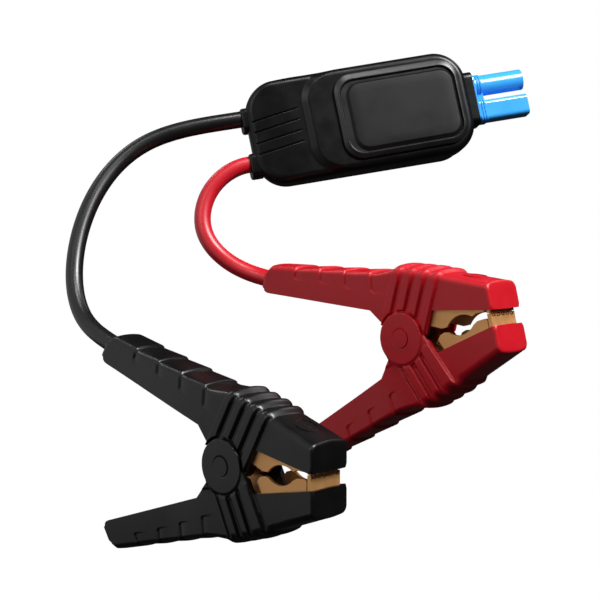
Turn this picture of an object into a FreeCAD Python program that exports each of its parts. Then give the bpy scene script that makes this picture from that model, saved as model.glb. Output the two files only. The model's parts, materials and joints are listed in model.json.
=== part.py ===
import FreeCAD, Part
import math
import os

# Smart jump lead set for a jump starter pack: a control box with a two-tube plug,
# and two spring clamps (black = negative, red = positive) on flexible cables.
# Units are millimetres.  +Z is up, and the origin is the centre of the control box's
# flat back face.  Both clamps lie in vertical planes, so their pivots run along Y.

V = FreeCAD.Vector
EPS = 0.05                      # running gap round a shaft, and between plates that slide

# ---- control box: local x is the long way, local y goes into the box, local z is its width
BOX_LENGTH = 100.0
BOX_WIDTH = 47.0
BOX_CORNER = 14.0
BOX_BACK_Y = 11.0
BOX_FRONT_Y = -7.6
BOX_SEAM_Y = 4.0
BOX_WALL = 2.0
BOX_EDGE_ROUND = 4.5
TAPER_START_X = -27.0
TAPER_MIDDLE_X = -37.7
TAPER_END_Y = -3.4
SADDLE_X0 = -24.5
SADDLE_X1 = 47.0
SADDLE_HALF_WIDTH = 21.5
SADDLE_RISE = 1.4
SADDLE_CORNER = 11.5
SADDLE_CHAMFER = 1.3
RING_X0 = -9.8
RING_X1 = 45.6
RING_HALF_WIDTH = 18.7
RING_RISE = 2.0
RING_BAND = 4.2
RING_CORNER = 8.0
RING_CHAMFER = 1.2
RING_FOOT = 0.75                # how deep the ring and the panel sit in the front shell
RING_FOOT_INSET = 1.25
PANEL_GAP = 0.5
PANEL_RISE = 1.2
PANEL_CORNER = 5.0
PANEL_CHAMFER = 0.5
BOX_YAW = 53.0
BOX_PITCH = -9.3
BOX_ROLL = -12.2

# ---- two-tube plug on the box's right-hand end
TUBE_PITCH = 12.5
TUBE_MID_Z = 0.9
TUBE_DIAMETER = 9.6
TUBE_END_X = 79.5
FLANGE_X = 55.5
SOCKET_RADIUS = 2.5             # takes a 5 mm bullet contact
SOCKET_WALL = 0.6
SOCKET_LENGTH = 16.0
SOCKET_INSET = 1.5              # from the tube's mouth to the contact
COLLAR_MARGIN = 1.6             # the black collar round the blue plug
FLANGE_RIBS = 3
FLANGE_RIB_STEP = 1.2
FLANGE_RIB_WIDTH = 0.8

# ---- inside the box
SCREW_SPOTS = [(x, z) for x in (-28.0, 34.0) for z in (-17.5, 17.5)]
SCREW_HEAD_RADIUS = 2.4
SCREW_SHANK_RADIUS = 1.3
SCREW_HEAD_Y = BOX_BACK_Y - 2.2
BOARD_Y = 3.0
BOARD_THICKNESS = 1.6
BUSBAR_THICKNESS = 1.5
JOINT_X = -38.0                 # where each cable core meets its busbar
RELAY_X0 = 8.0
RELAY_X1 = 28.0
RELAY_Z0 = -12.5
RELAY_Z1 = 3.0
RELAY_HEIGHT = 8.0
PLUG_ROOT_X = BOX_LENGTH / 2 - 4

# ---- cables
CABLE_OD = 7.5
CORE_OD = 4.2
CORE_GAP = 0.03
LUG_WALL = 1.0
BLACK_EXIT_Z = 9.1
RED_EXIT_Z = -12.2
RELIEF_LENGTH = 4.6
RELIEF_WIDTH = 11.6
RELIEF_DEPTH = 11.0
BALL_GAP = 0.35                 # play in the ball seat where each cable is free to flex

# ---- clamps: local x runs forward to the jaws, local y is the pivot, local z is up
BLACK_PIVOT = V(57.6, -131.5, -133.0)
RED_PIVOT = V(83.4, -57.4, -88.7)
BLACK_PITCH = 0.0
RED_PITCH = 14.2                # the red clamp's nose points up a little
HANDLE_HALF_WIDTH = 8.0
BODY_HALF_WIDTH = 9.4
RIB_HALF_WIDTH = 10.6
EAR_INNER = 9.5
EAR_OUTER = 11.2
EAR_RADIUS = 10.5
COVER_WALL = 1.5
LUG_RADIUS = 7.6
MARK_RADIUS = 4.6
MARK_SPOT = (34.0, 16.45)
PIN_RADIUS = 2.5
CAP_RADIUS = 3.7
CAP_DEPTH = 1.0
NOSE_X = 45.3
NOSE_GAP = 2.9                  # half the gap between the two noses when shut
JAW_THICKNESS = 1.5
JAW_EAR_RADIUS = 6.5
UPPER_JAW_OUTER = 7.8
LOWER_EAR_OUTER = UPPER_JAW_OUTER - JAW_THICKNESS - 0.1
RIB_SLANT = 31.0
RIB_PITCH = 6.2
RIB_COUNT = 4
RIB_THICKNESS = 3.4
RIB_START = (4.6, 28.6)
SCALLOP_PITCH = 13.8
SCALLOP_COUNT = 4
SPRING_WIRE = 1.5
SPRING_RADIUS = 5.0
SPRING_TURNS = 4
SPRING_LEG_ANGLE = 31.0
SPRING_LEG_LENGTH = 31.0
LUG_BOLT_X = -38.0
LUG_BOLT_RADIUS = 1.5
JAW_TAIL_BEND = (-14.0, 20.8)   # where the upper jaw's tail turns up along the handle
JAW_TAIL_END = (-44.0, 27.6)
LOWER_TAIL_END = (-30.0, 24.3)
TOOTH_X0 = 41.4
TOOTH_X1 = 43.1
TOOTH_PITCH = 2.92
TOOTH_WIDTH = 1.0
TOOTH_COUNT = 6                 # on the lower jaw; the upper jaw has one fewer, set between them
UPPER_TOOTH_ROOT = 2.3
UPPER_TOOTH_TIP = 0.9
LOWER_TOOTH_ROOT = 0.6
LOWER_TOOTH_TIP = 2.0
FIT = 0.02                      # gap between parts that are pressed or moulded together
FAR = 60.0                      # longer than any clamp part, for cutters that pass right through
SIDE = 20.0                     # wider than any clamp part, for cutters that pass right through

# side view of a clamp cover, as the upper one: (x, z)
HANDLE_END_LOW = (-73.5, 34.3)
HANDLE_END_HIGH = (-67.6, 43.8)
INNER_BEND = (-14.3, 14.2)
REAR_THROAT = (-9.2, 7.8)
SHOULDER_START = (0.0, 27.0)
SHOULDER_END = (26.0, 19.8)
NOSE_TOP = (43.2, 13.7)
NOSE_BACK_LOW = (16.8, 8.2)
SKIRT_TIP = (12.4, -0.4)
CREST_START = (-52.8, 40.3)
CREST_SLOPE = -0.24
CAVITY = [(-71.3, 33.2), (-66.2, 41.2), (-6.2, 25.8), (0.0, 25.2), (26.0, 17.9), (43.3, 12.0), (43.3, -3.0),
          (-8.0, -3.0), (-22.0, 8.0)]
RIB_BAND = [(-9.0, 10.0), (-8.0, 28.6), (1.0, 28.8), (26.0, 21.4), (30.0, 8.0), (12.0, -1.0), (0.0, -1.0)]
RIB_BED = [(-30.0, 0.0), (-30.0, 24.0), (0.0, 25.6), (26.0, 18.4), (40.0, 10.0), (40.0, -5.0), (-20.0, -5.0)]

# side view of the jaws: a nested pair is an arc's middle and end
UPPER_JAW = [(11.7, 2.9), (15.0, 1.9), (18.7, 0.4), (21.6, 0.4), ((28.6, 3.9), (34.3, 2.2)),
             (36.4, 3.1), (40.0, 2.9), (41.2, 4.1), (43.1, 4.4), (43.1, 11.0), (26.0, 16.6),
             (8.0, 18.0), (0.0, 8.0), (4.0, 4.0), (11.7, 6.5)]
LOWER_JAW = [(16.1, -3.6), (17.6, -1.9), (19.6, -1.3), (21.8, -1.6), ((28.2, -3.7), (34.2, -0.9)),
             (36.3, 0.2), (39.6, 0.4), ((40.7, 0.0), (41.0, -1.2)), (41.0, -9.0), (43.1, -11.0),
             (26.0, -16.6), (12.0, -17.6), (12.0, -9.0), (18.4, -8.0)]

# ---- how the cables run: out of the box, through these points, and into the handles
CABLE_ENTRY = V(-70.5, 0, 37.5)
ENTRY_ANGLE = 20.0
BLACK_WAYPOINTS = [V(-53.0, -83.0, -8.5), V(-58.5, -113.0, -39.5), V(-36.5, -131.0, -85.5)]
RED_WAYPOINTS = [V(-30.0, -65.0, -30.0), V(-28.0, -71.0, -48.0), V(-14.0, -64.0, -64.0)]
BLACK_FLEX_SHARE = 0.5
RED_FLEX_SHARE = 0.45
JACKET_LEAD = 10.8              # jacket inside the box's end wall
CABLE_TAIL = 9.0                # jacket inside the clamp's handle
CORE_TAIL = 8.0                 # bare core beyond the jacket, in the lug
CORE_LEAD = 6.0                 # bare core beyond the jacket, in the box


# ---------------------------------------------------------------- helpers
def prism(points, y0, y1):
    """Closed x-z polygon, extruded along y."""
    corners = [V(x, y0, z) for x, z in points]
    wire = Part.makePolygon(corners + [corners[0]])
    return Part.Face(wire).extrude(V(0, y1 - y0, 0))


def plan_prism(points, z0, z1):
    """Closed x-y polygon, extruded along z."""
    corners = [V(x, y, z0) for x, y in points]
    wire = Part.makePolygon(corners + [corners[0]])
    return Part.Face(wire).extrude(V(0, 0, z1 - z0))


def rounded_slab(x0, x1, half_width, radius, y0, y1):
    """Rectangle in x-z with round corners, extruded along y."""
    slab = Part.makeBox(x1 - x0, y1 - y0, 2 * half_width, V(x0, y0, -half_width))
    corners = [e for e in slab.Edges if abs(e.tangentAt(e.FirstParameter).y) > 0.99]
    return slab.makeFillet(radius, corners)


def disc(radius, y0, y1, x=0.0, z=0.0):
    """Cylinder whose axis runs along y."""
    return Part.makeCylinder(radius, y1 - y0, V(x, y0, z), V(0, 1, 0))


def rod(start, end, radius):
    """Round bar between two points."""
    span = end - start
    return Part.makeCylinder(radius, span.Length, start, span)


def mirrored_y(shape):
    return shape.mirror(V(0, 0, 0), V(0, 1, 0))


def mirrored_z(shape):
    return shape.mirror(V(0, 0, 0), V(0, 0, 1))


def pair(shape):
    """The shape and its twin on the far side of the clamp."""
    return shape.fuse(mirrored_y(shape))


def front_edges(shape, y_level):
    """Edges of the flat face that lies at the given y."""
    found = []
    for face in shape.Faces:
        box = face.BoundBox
        if abs(box.YMin - y_level) < 1e-6 and abs(box.YMax - y_level) < 1e-6:
            found.extend(face.Edges)
    return found


def save(name, shape, placement):
    """Write one node, placed in the common frame."""
    solid = shape.removeSplitter()
    solid.Placement = placement.multiply(solid.Placement)
    solid.exportStep("parts/" + name + ".step")


BOX_TURN = FreeCAD.Rotation(BOX_YAW, BOX_PITCH, BOX_ROLL)
BOX_PLACE = FreeCAD.Placement(BOX_TURN.multVec(V(0, -BOX_BACK_Y, 0)), BOX_TURN)
WORLD = FreeCAD.Placement()


# ---------------------------------------------------------------- control box
def box_body():
    """Outer form of both shells together, with the tapered cable end."""
    body = rounded_slab(-BOX_LENGTH / 2, BOX_LENGTH / 2, BOX_WIDTH / 2, BOX_CORNER,
                        BOX_FRONT_Y, BOX_BACK_Y)
    body = body.makeFillet(BOX_EDGE_ROUND, front_edges(body, BOX_FRONT_Y))
    body = body.makeFillet(BOX_EDGE_ROUND * 0.5, front_edges(body, BOX_BACK_Y))
    body = body.cut(taper_wedge())
    y0 = BOX_FRONT_Y - SADDLE_RISE
    saddle = rounded_slab(SADDLE_X0, SADDLE_X1, SADDLE_HALF_WIDTH, SADDLE_CORNER, y0, BOX_FRONT_Y + 5)
    saddle = saddle.makeChamfer(SADDLE_CHAMFER, front_edges(saddle, y0))
    return body.fuse(saddle)


def taper_wedge():
    """What the curved slope at the cable end takes off the front."""
    top = BOX_WIDTH / 2 + 1
    beyond = -BOX_LENGTH / 2 - 3
    start = V(TAPER_START_X, BOX_FRONT_Y, -top)
    middle = V(TAPER_MIDDLE_X, BOX_FRONT_Y + 1.0, -top)
    end = V(-BOX_LENGTH / 2, TAPER_END_Y, -top)
    past = V(beyond, TAPER_END_Y + 1.2, -top)
    outside = V(beyond, BOX_FRONT_Y - 3, -top)
    corner = V(TAPER_START_X, BOX_FRONT_Y - 3, -top)
    curve = Part.Arc(start, middle, end).toShape()
    rest = Part.makePolygon([end, past, outside, corner, start])
    outline = Part.Wire(Part.sortEdges([curve] + rest.Edges)[0])
    return Part.Face(outline).extrude(V(0, 0, 2 * top))


def box_cavity():
    """Space inside the two shells."""
    half = BOX_LENGTH / 2 - BOX_WALL
    width = BOX_WIDTH / 2 - BOX_WALL
    room = rounded_slab(-half, half, width, BOX_CORNER - BOX_WALL, TAPER_END_Y + 2.4,
                        BOX_BACK_Y - BOX_WALL)
    bulge = rounded_slab(SADDLE_X0 + 3, SADDLE_X1 - 3, SADDLE_HALF_WIDTH - 4.5, 8.0,
                         BOX_FRONT_Y + 1.4, TAPER_END_Y + 3)
    return room.fuse(bulge)


def box_screw_bosses():
    bosses = None
    for x, z in SCREW_SPOTS:
        boss = disc(3.4, BOX_FRONT_Y + 2.5, BOX_BACK_Y - 1.0, x, z)
        bosses = boss if bosses is None else bosses.fuse(boss)
    return bosses


def screw(x, z, grow=0.0):
    head = disc(SCREW_HEAD_RADIUS + grow, SCREW_HEAD_Y, BOX_BACK_Y - 0.4 + 2 * grow, x, z)
    shank = disc(SCREW_SHANK_RADIUS + grow * 0.5, BOX_SEAM_Y - 4.0, SCREW_HEAD_Y, x, z)
    return head.fuse(shank)


def cable_hole(exit_z):
    """Through the end wall, and on as far as the busbar."""
    return x_cylinder(CABLE_OD / 2 + FIT, -BOX_LENGTH / 2 - 1, JOINT_X + 1, exit_z)


def build_box_shells():
    body = box_body().cut(box_cavity())
    bosses = box_screw_bosses().common(box_body())
    body = body.fuse(bosses)
    for exit_z in (BLACK_EXIT_Z, RED_EXIT_Z):
        body = body.cut(cable_hole(exit_z))
    body = body.cut(plug_seat())
    for x, z in SCREW_SPOTS:
        mouth = disc(SCREW_HEAD_RADIUS + 0.1, SCREW_HEAD_Y, BOX_BACK_Y + 1, x, z)
        body = body.cut(screw(x, z, 0.1).fuse(mouth))
    front_half = Part.makeBox(2 * BOX_LENGTH, BOX_LENGTH + BOX_SEAM_Y, 2 * BOX_LENGTH,
                              V(-BOX_LENGTH, -BOX_LENGTH, -BOX_LENGTH))
    lid_y = BOX_FRONT_Y - SADDLE_RISE
    recess = lid_slab(RING_FOOT_INSET - 0.05, RING_CORNER - 1.2, lid_y - 1, lid_y + RING_FOOT + 0.05)
    save("box_front_shell", body.common(front_half).cut(recess), BOX_PLACE)
    save("box_back_shell", body.cut(front_half), BOX_PLACE)


def lid_slab(inset, corner, y0, y1):
    """Slab with the ring's outline, drawn in by the inset."""
    return rounded_slab(RING_X0 + inset, RING_X1 - inset, RING_HALF_WIDTH - inset, corner, y0, y1)


def build_ring_and_panel():
    y = BOX_FRONT_Y - SADDLE_RISE
    foot = lid_slab(RING_FOOT_INSET, RING_CORNER - RING_FOOT_INSET, y, y + RING_FOOT)
    crest = lid_slab(0.0, RING_CORNER, y - RING_RISE, y)
    crest = crest.makeChamfer(RING_CHAMFER, front_edges(crest, y - RING_RISE))
    opening = lid_slab(RING_BAND, PANEL_CORNER + PANEL_GAP, y - RING_RISE - 1, y + 2)
    save("lid_ring", crest.fuse(foot).cut(opening), BOX_PLACE)
    panel = lid_slab(RING_BAND + PANEL_GAP, PANEL_CORNER, y - PANEL_RISE, y + RING_FOOT)
    panel = panel.makeChamfer(PANEL_CHAMFER, front_edges(panel, y - PANEL_RISE))
    save("lid_panel", panel, BOX_PLACE)


def build_box_screws():
    """Four cross-head screws in the back shell."""
    screws = []
    for x, z in SCREW_SPOTS:
        slot = Part.makeBox(3.0, 1.0, 0.6, V(x - 1.5, BOX_BACK_Y - 1.2, z - 0.3))
        cross = Part.makeBox(0.6, 1.0, 3.0, V(x - 0.3, BOX_BACK_Y - 1.2, z - 1.5))
        screws.append(screw(x, z).cut(slot).cut(cross))
    save("box_screws", Part.makeCompound(screws), BOX_PLACE)


def relief(exit_z):
    """Rectangular strain relief collar against the box's end wall."""
    x1 = -BOX_LENGTH / 2 - 0.05
    block = Part.makeBox(RELIEF_LENGTH, RELIEF_DEPTH, RELIEF_WIDTH,
                         V(x1 - RELIEF_LENGTH, -RELIEF_DEPTH / 2, exit_z - RELIEF_WIDTH / 2))
    along = [e for e in block.Edges if abs(e.tangentAt(e.FirstParameter).x) > 0.99]
    block = block.makeFillet(1.2, along)
    rear = [e for e in block.Edges if e.BoundBox.XMax < x1 - RELIEF_LENGTH + 1e-6]
    block = block.makeChamfer(0.6, rear)
    return block.cut(x_cylinder(CABLE_OD / 2 + FIT, x1 - 2 * RELIEF_LENGTH, x1 + 1, exit_z))


def build_reliefs():
    save("black_strain_relief", relief(BLACK_EXIT_Z), BOX_PLACE)
    save("red_strain_relief", relief(RED_EXIT_Z), BOX_PLACE)


# ---------------------------------------------------------------- electronics in the box
def build_electronics():
    board = Part.makeBox(56, BOARD_THICKNESS, 26, V(-24, BOARD_Y, -13))
    save("circuit_board", board, BOX_PLACE)
    relay = Part.makeBox(RELAY_X1 - RELAY_X0, RELAY_HEIGHT, RELAY_Z1 - RELAY_Z0,
                         V(RELAY_X0, BOARD_Y - RELAY_HEIGHT, RELAY_Z0))
    save("relay", relay, BOX_PLACE)
    transistors = [Part.makeBox(5.0, 1.6, 6.2, V(-21 + 6.6 * i, BOARD_Y - 1.6, -11.5)) for i in range(4)]
    save("power_transistors", Part.makeCompound(transistors), BOX_PLACE)
    logic = Part.makeBox(6, 1.4, 4, V(-4, BOARD_Y - 1.4, -3.5))
    crystal = Part.makeBox(4, 1.4, 2, V(-12, BOARD_Y - 1.4, -3))
    save("control_chips", Part.makeCompound([logic, crystal]), BOX_PLACE)


def bar(x0, x1, z, width):
    """Flat copper bar in the cables' own plane."""
    return Part.makeBox(x1 - x0, BUSBAR_THICKNESS, width, V(x0, -BUSBAR_THICKNESS / 2, z - width / 2))


def build_busbars():
    """Copper bars: negative straight to the plug, positive through the relay."""
    high, low = tube_centres()
    save("negative_busbar", bar(JOINT_X, PLUG_ROOT_X, high, 5.0), BOX_PLACE)
    save("positive_busbar", bar(JOINT_X, RELAY_X0, RED_EXIT_Z + 1.0, 4.5), BOX_PLACE)
    save("relay_output_bar", bar(RELAY_X1, PLUG_ROOT_X, low, 5.0), BOX_PLACE)


# ---------------------------------------------------------------- plug
def tube_centres():
    return (TUBE_MID_Z + TUBE_PITCH / 2, TUBE_MID_Z - TUBE_PITCH / 2)


def x_cylinder(radius, x0, x1, z):
    return Part.makeCylinder(radius, x1 - x0, V(x0, 0, z), V(1, 0, 0))


def x_block(x0, x1, half_depth, z0, z1, radius):
    block = Part.makeBox(x1 - x0, 2 * half_depth, z1 - z0, V(x0, -half_depth, z0))
    along = [e for e in block.Edges if abs(e.tangentAt(e.FirstParameter).x) > 0.99]
    return block.makeFillet(radius, along)


def plug_collar_outer():
    high, low = tube_centres()
    size = TUBE_DIAMETER / 2 + COLLAR_MARGIN
    return x_block(PLUG_ROOT_X - 2, FLANGE_X - 0.5, size, low - size, high + size, 3.0)


def plug_seat():
    """Opening in the shells that holds the plug collar."""
    high, low = tube_centres()
    size = TUBE_DIAMETER / 2 + COLLAR_MARGIN + FIT
    return x_block(PLUG_ROOT_X - 2 - FIT, BOX_LENGTH / 2 + 4, size, low - size, high + size, 3.0)


def plug_housing_outer():
    """A round tube over a square one, with thin ribs round their roots."""
    high, low = tube_centres()
    half = TUBE_DIAMETER / 2
    root = half + 0.5
    rib = half + 0.45
    rib_x = FLANGE_X + 0.4
    housing = x_block(PLUG_ROOT_X, rib_x, root, low - root, high + root, 3.0)
    for step in range(FLANGE_RIBS):
        x0 = rib_x + FLANGE_RIB_STEP * step
        x1 = x0 + FLANGE_RIB_WIDTH
        housing = housing.fuse(x_cylinder(rib, x0, x1, high))
        housing = housing.fuse(x_block(x0, x1, rib, low - rib, low + rib, 2.2))
    housing = housing.fuse(x_cylinder(half, PLUG_ROOT_X, TUBE_END_X, high))
    housing = housing.fuse(x_block(PLUG_ROOT_X, TUBE_END_X, half, low - half, low + half, 2.0))
    return housing.fuse(Part.makeBox(4.0, 5.0, TUBE_PITCH, V(FLANGE_X, -2.5, low)))


def plug_contact(z):
    """Brass pin from the busbar, opening into a bullet socket near the tube's mouth."""
    mouth_x = TUBE_END_X - SOCKET_INSET
    stem = x_cylinder(SOCKET_RADIUS + SOCKET_WALL, PLUG_ROOT_X, mouth_x, z)
    return stem.cut(x_cylinder(SOCKET_RADIUS, mouth_x - SOCKET_LENGTH, mouth_x + 1, z))


def build_plug():
    high, low = tube_centres()
    stem = SOCKET_RADIUS + SOCKET_WALL
    housing = plug_housing_outer()
    for z in (high, low):
        housing = housing.cut(x_cylinder(stem + 0.25, PLUG_ROOT_X - 1, TUBE_END_X + 1, z))
    save("plug_housing", housing, BOX_PLACE)
    size = TUBE_DIAMETER / 2 + 0.5 + FIT
    collar = plug_collar_outer()
    collar = collar.cut(x_block(PLUG_ROOT_X - FIT, FLANGE_X, size, low - size, high + size, 3.0))
    for z in (high, low):
        collar = collar.cut(x_cylinder(stem + 0.6, PLUG_ROOT_X - 5, PLUG_ROOT_X + 1, z))
    save("plug_collar", collar, BOX_PLACE)
    save("plug_contact_negative", plug_contact(high), BOX_PLACE)
    save("plug_contact_positive", plug_contact(low), BOX_PLACE)


# ---------------------------------------------------------------- cables
def box_point(x, y, z):
    return BOX_PLACE.multVec(V(x, y, z))


def clamp_placement(pivot, pitch):
    return FreeCAD.Placement(pivot, FreeCAD.Rotation(V(0, 1, 0), -pitch))


def sweep(edges, radius):
    """Round bar along a chain of edges."""
    path = Part.Wire(edges)
    start = path.Edges[0]
    origin = start.valueAt(start.FirstParameter)
    tangent = start.tangentAt(start.FirstParameter)
    ring = Part.Wire(Part.makeCircle(radius, origin, tangent))
    return path.makePipeShell([ring], True, True)


def entry_direction():
    """The way a cable runs into a handle, in the clamp's own axes."""
    slope = math.radians(ENTRY_ANGLE)
    return V(math.cos(slope), 0, -math.sin(slope))


def build_cable(colour, exit_z, waypoints, placement, flex_share):
    """Jacket and core in two lengths, with a ball seat between them where the cable is free to flex."""
    leave = BOX_TURN.multVec(V(-1, 0, 0))
    arrive = placement.Rotation.multVec(entry_direction())
    start = box_point(-BOX_LENGTH / 2 - RELIEF_LENGTH - 0.2, 0, exit_z)
    finish = placement.multVec(CABLE_ENTRY)
    curve = Part.BSplineCurve()
    curve.interpolate(Points=[start] + waypoints + [finish], InitialTangent=leave, FinalTangent=arrive,
                      Scale=False)
    first, last = curve.FirstParameter, curve.LastParameter
    cut = first + (last - first) * flex_share
    box_side = curve.toShape(first, cut)
    clamp_side = curve.toShape(cut, last)
    inner_start = start - leave * JACKET_LEAD
    inner_end = finish + arrive * CABLE_TAIL
    jacket_in = [Part.makeLine(inner_start, start), box_side]
    jacket_out = [clamp_side, Part.makeLine(finish, inner_end)]
    core_in = [Part.makeLine(inner_start - leave * CORE_LEAD, start), box_side]
    core_out = [clamp_side, Part.makeLine(finish, inner_end + arrive * CORE_TAIL)]
    radius = CABLE_OD / 2
    bore = CORE_OD / 2 + CORE_GAP
    pivot = curve.value(cut)
    ball = Part.makeSphere(radius, pivot, curve.tangent(cut)[0], 0, 90)
    seat = Part.makeSphere(radius + BALL_GAP, pivot)
    near_jacket = sweep(jacket_in, radius).cut(sweep(jacket_in, bore)).fuse(ball)
    far_jacket = sweep(jacket_out, radius).cut(seat).cut(sweep(jacket_out, bore))
    save(colour + "_cable_jacket_box_end", near_jacket, WORLD)
    save(colour + "_cable_core_box_end", sweep(core_in, CORE_OD / 2), WORLD)
    save(colour + "_cable_jacket_clamp_end", far_jacket, WORLD)
    save(colour + "_cable_core_clamp_end", sweep(core_out, CORE_OD / 2).cut(seat), WORLD)


# ---------------------------------------------------------------- clamps
def scallop_outline():
    """Outer edge of a handle: shallow finger ramps, each ending in a small drop."""
    points = []
    for k in range(SCALLOP_COUNT):
        x = CREST_START[0] + SCALLOP_PITCH * k
        z = CREST_START[1] + CREST_SLOPE * SCALLOP_PITCH * k
        drop = 1.4 + 0.25 * k
        points.append((x, z))
        points.append((x + 4.0, z - drop))
    return points


def cover_profile():
    """Side view of a clamp cover, as the upper one."""
    nose = [NOSE_TOP, (NOSE_X, 11.2), (NOSE_X, NOSE_GAP), NOSE_BACK_LOW, SKIRT_TIP]
    back = [(0.0, 3.0), REAR_THROAT, INNER_BEND]
    handle = [HANDLE_END_LOW, HANDLE_END_HIGH] + scallop_outline()
    return handle + [SHOULDER_START, SHOULDER_END] + nose + back


def plan_outline(end_half, body_half):
    """Top view of a cover: a little narrower at the handle's end."""
    half = [(-76.0, end_half), (INNER_BEND[0], body_half), (NOSE_X + 1, body_half)]
    return half + [(x, -y) for x, y in reversed(half)]


def cover_cavity():
    room = prism(CAVITY, -BODY_HALF_WIDTH, BODY_HALF_WIDTH)
    plan = plan_outline(HANDLE_HALF_WIDTH - 1.6, BODY_HALF_WIDTH - COVER_WALL - 0.05)
    return room.common(plan_prism(plan, -FAR, FAR))


def shoulder_ribs(half_width):
    """Slanted bands that wrap over the shoulder of a cover."""
    slabs = None
    for k in range(RIB_COUNT):
        slab = Part.makeBox(RIB_THICKNESS, 2 * SIDE, FAR, V(-RIB_THICKNESS / 2, -SIDE, -FAR / 2))
        slab.rotate(V(0, 0, 0), V(0, 1, 0), RIB_SLANT)
        slab.translate(V(RIB_START[0] + RIB_PITCH * k, 0, RIB_START[1] - 1.8 * k))
        slabs = slab if slabs is None else slabs.fuse(slab)
    ribs = prism(RIB_BAND, -half_width, half_width).common(slabs)
    ribs = ribs.cut(prism(RIB_BED, -BODY_HALF_WIDTH + 0.4, BODY_HALF_WIDTH - 0.4))
    return ribs.cut(disc(EAR_RADIUS + 0.6, -SIDE, SIDE))


def cover_shell(rib_half_width):
    outer = prism(cover_profile(), -BODY_HALF_WIDTH, BODY_HALF_WIDTH)
    outer = outer.common(plan_prism(plan_outline(HANDLE_HALF_WIDTH, BODY_HALF_WIDTH), -FAR, FAR))
    return outer.fuse(shoulder_ribs(rib_half_width)).cut(cover_cavity())


def polarity_mark(positive):
    """Raised ring with a plus or a minus inside it, on top of the nose."""
    ring = Part.makeCylinder(MARK_RADIUS, 1.0).cut(Part.makeCylinder(MARK_RADIUS - 0.5, 1.0))
    mark = ring.fuse(Part.makeBox(5.0, 1.1, 1.0, V(-2.5, -0.55, 0)))
    if positive:
        mark = mark.fuse(Part.makeBox(1.1, 5.0, 1.0, V(-0.55, -2.5, 0)))
    tilt = math.degrees(math.atan2(SHOULDER_END[1] - NOSE_TOP[1], NOSE_TOP[0] - SHOULDER_END[0]))
    mark.rotate(V(0, 0, 0), V(0, 1, 0), tilt)
    mark.translate(V(MARK_SPOT[0], 0, MARK_SPOT[1]))
    return mark


def build_upper_cover(colour, place):
    cover = cover_shell(RIB_HALF_WIDTH)
    lug = pair(disc(LUG_RADIUS, BODY_HALF_WIDTH - COVER_WALL, BODY_HALF_WIDTH))
    bridge = prism([REAR_THROAT, (0.0, 12.0), (14.0, 9.0), SKIRT_TIP, (4.0, -4.0), (-4.0, -4.0)],
                   BODY_HALF_WIDTH - COVER_WALL, BODY_HALF_WIDTH)
    cover = cover.fuse(lug).fuse(pair(bridge)).fuse(polarity_mark(colour == "red"))
    along = entry_direction()
    passage = Part.makeCylinder(CABLE_OD / 2 + FIT, 30, CABLE_ENTRY - along * 12, along)
    cover = cover.cut(disc(PIN_RADIUS + FIT, -SIDE, SIDE)).cut(passage)
    save(colour + "_upper_cover", cover, place)


def ear_outline():
    """Neck that carries the round ear down into the lower cover."""
    return [(-9.6, -4.0), (-10.2, -8.2), (-13.4, -14.0), (-6.0, -24.0), (12.0, -23.0), (21.5, -20.0),
            (11.6, -1.2), (0.0, 0.0)]


def build_lower_cover(colour, place):
    cover = mirrored_z(cover_shell(RIB_HALF_WIDTH + 0.9))
    cover = cover.cut(disc(LUG_RADIUS + 0.5, -SIDE, SIDE))
    cover = cover.cut(prism([(-30.0, 3.0), (20.0, 3.0), (12.5, -1.5), (-9.0, -6.5)], -SIDE, SIDE))
    ear = disc(EAR_RADIUS, EAR_INNER, EAR_OUTER).fuse(prism(ear_outline(), EAR_INNER, EAR_OUTER))
    root = prism(ear_outline(), BODY_HALF_WIDTH - 0.6, EAR_INNER).cut(disc(LUG_RADIUS + 2.2, -SIDE, SIDE))
    root = root.common(Part.makeBox(FAR, 2 * SIDE, 30, V(-FAR / 2, -SIDE, -38.8)))
    cover = cover.fuse(pair(ear)).fuse(pair(root))
    seat = pair(disc(CAP_RADIUS + FIT, EAR_OUTER - CAP_DEPTH, EAR_OUTER + 1))
    cover = cover.cut(seat).cut(disc(PIN_RADIUS + EPS, -SIDE, SIDE))
    save(colour + "_lower_cover", cover, place)


def build_pin_and_caps(colour, place):
    reach = EAR_OUTER - CAP_DEPTH - 0.1
    save(colour + "_pivot_pin", disc(PIN_RADIUS, -reach, reach), place)
    cap = disc(CAP_RADIUS, EAR_OUTER - CAP_DEPTH, EAR_OUTER + 0.25)
    save(colour + "_pin_caps", Part.makeCompound([cap, mirrored_y(cap)]), place)


def jaw_face(points):
    """Closed x-z outline at y = 0; a nested pair of points is an arc's middle and end."""
    edges = []
    start = points[0]
    here = V(start[0], 0, start[1])
    first = here
    for item in points[1:]:
        if isinstance(item[0], tuple):
            middle = V(item[0][0], 0, item[0][1])
            there = V(item[1][0], 0, item[1][1])
            edges.append(Part.Arc(here, middle, there).toShape())
        else:
            there = V(item[0], 0, item[1])
            edges.append(Part.makeLine(here, there))
        here = there
    edges.append(Part.makeLine(here, first))
    return Part.Face(Part.Wire(edges))


def tail_height(x):
    """Top of the upper jaw's tail at the given x."""
    share = (JAW_TAIL_BEND[0] - x) / (JAW_TAIL_BEND[0] - JAW_TAIL_END[0])
    return JAW_TAIL_BEND[1] + share * (JAW_TAIL_END[1] - JAW_TAIL_BEND[1])


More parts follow.
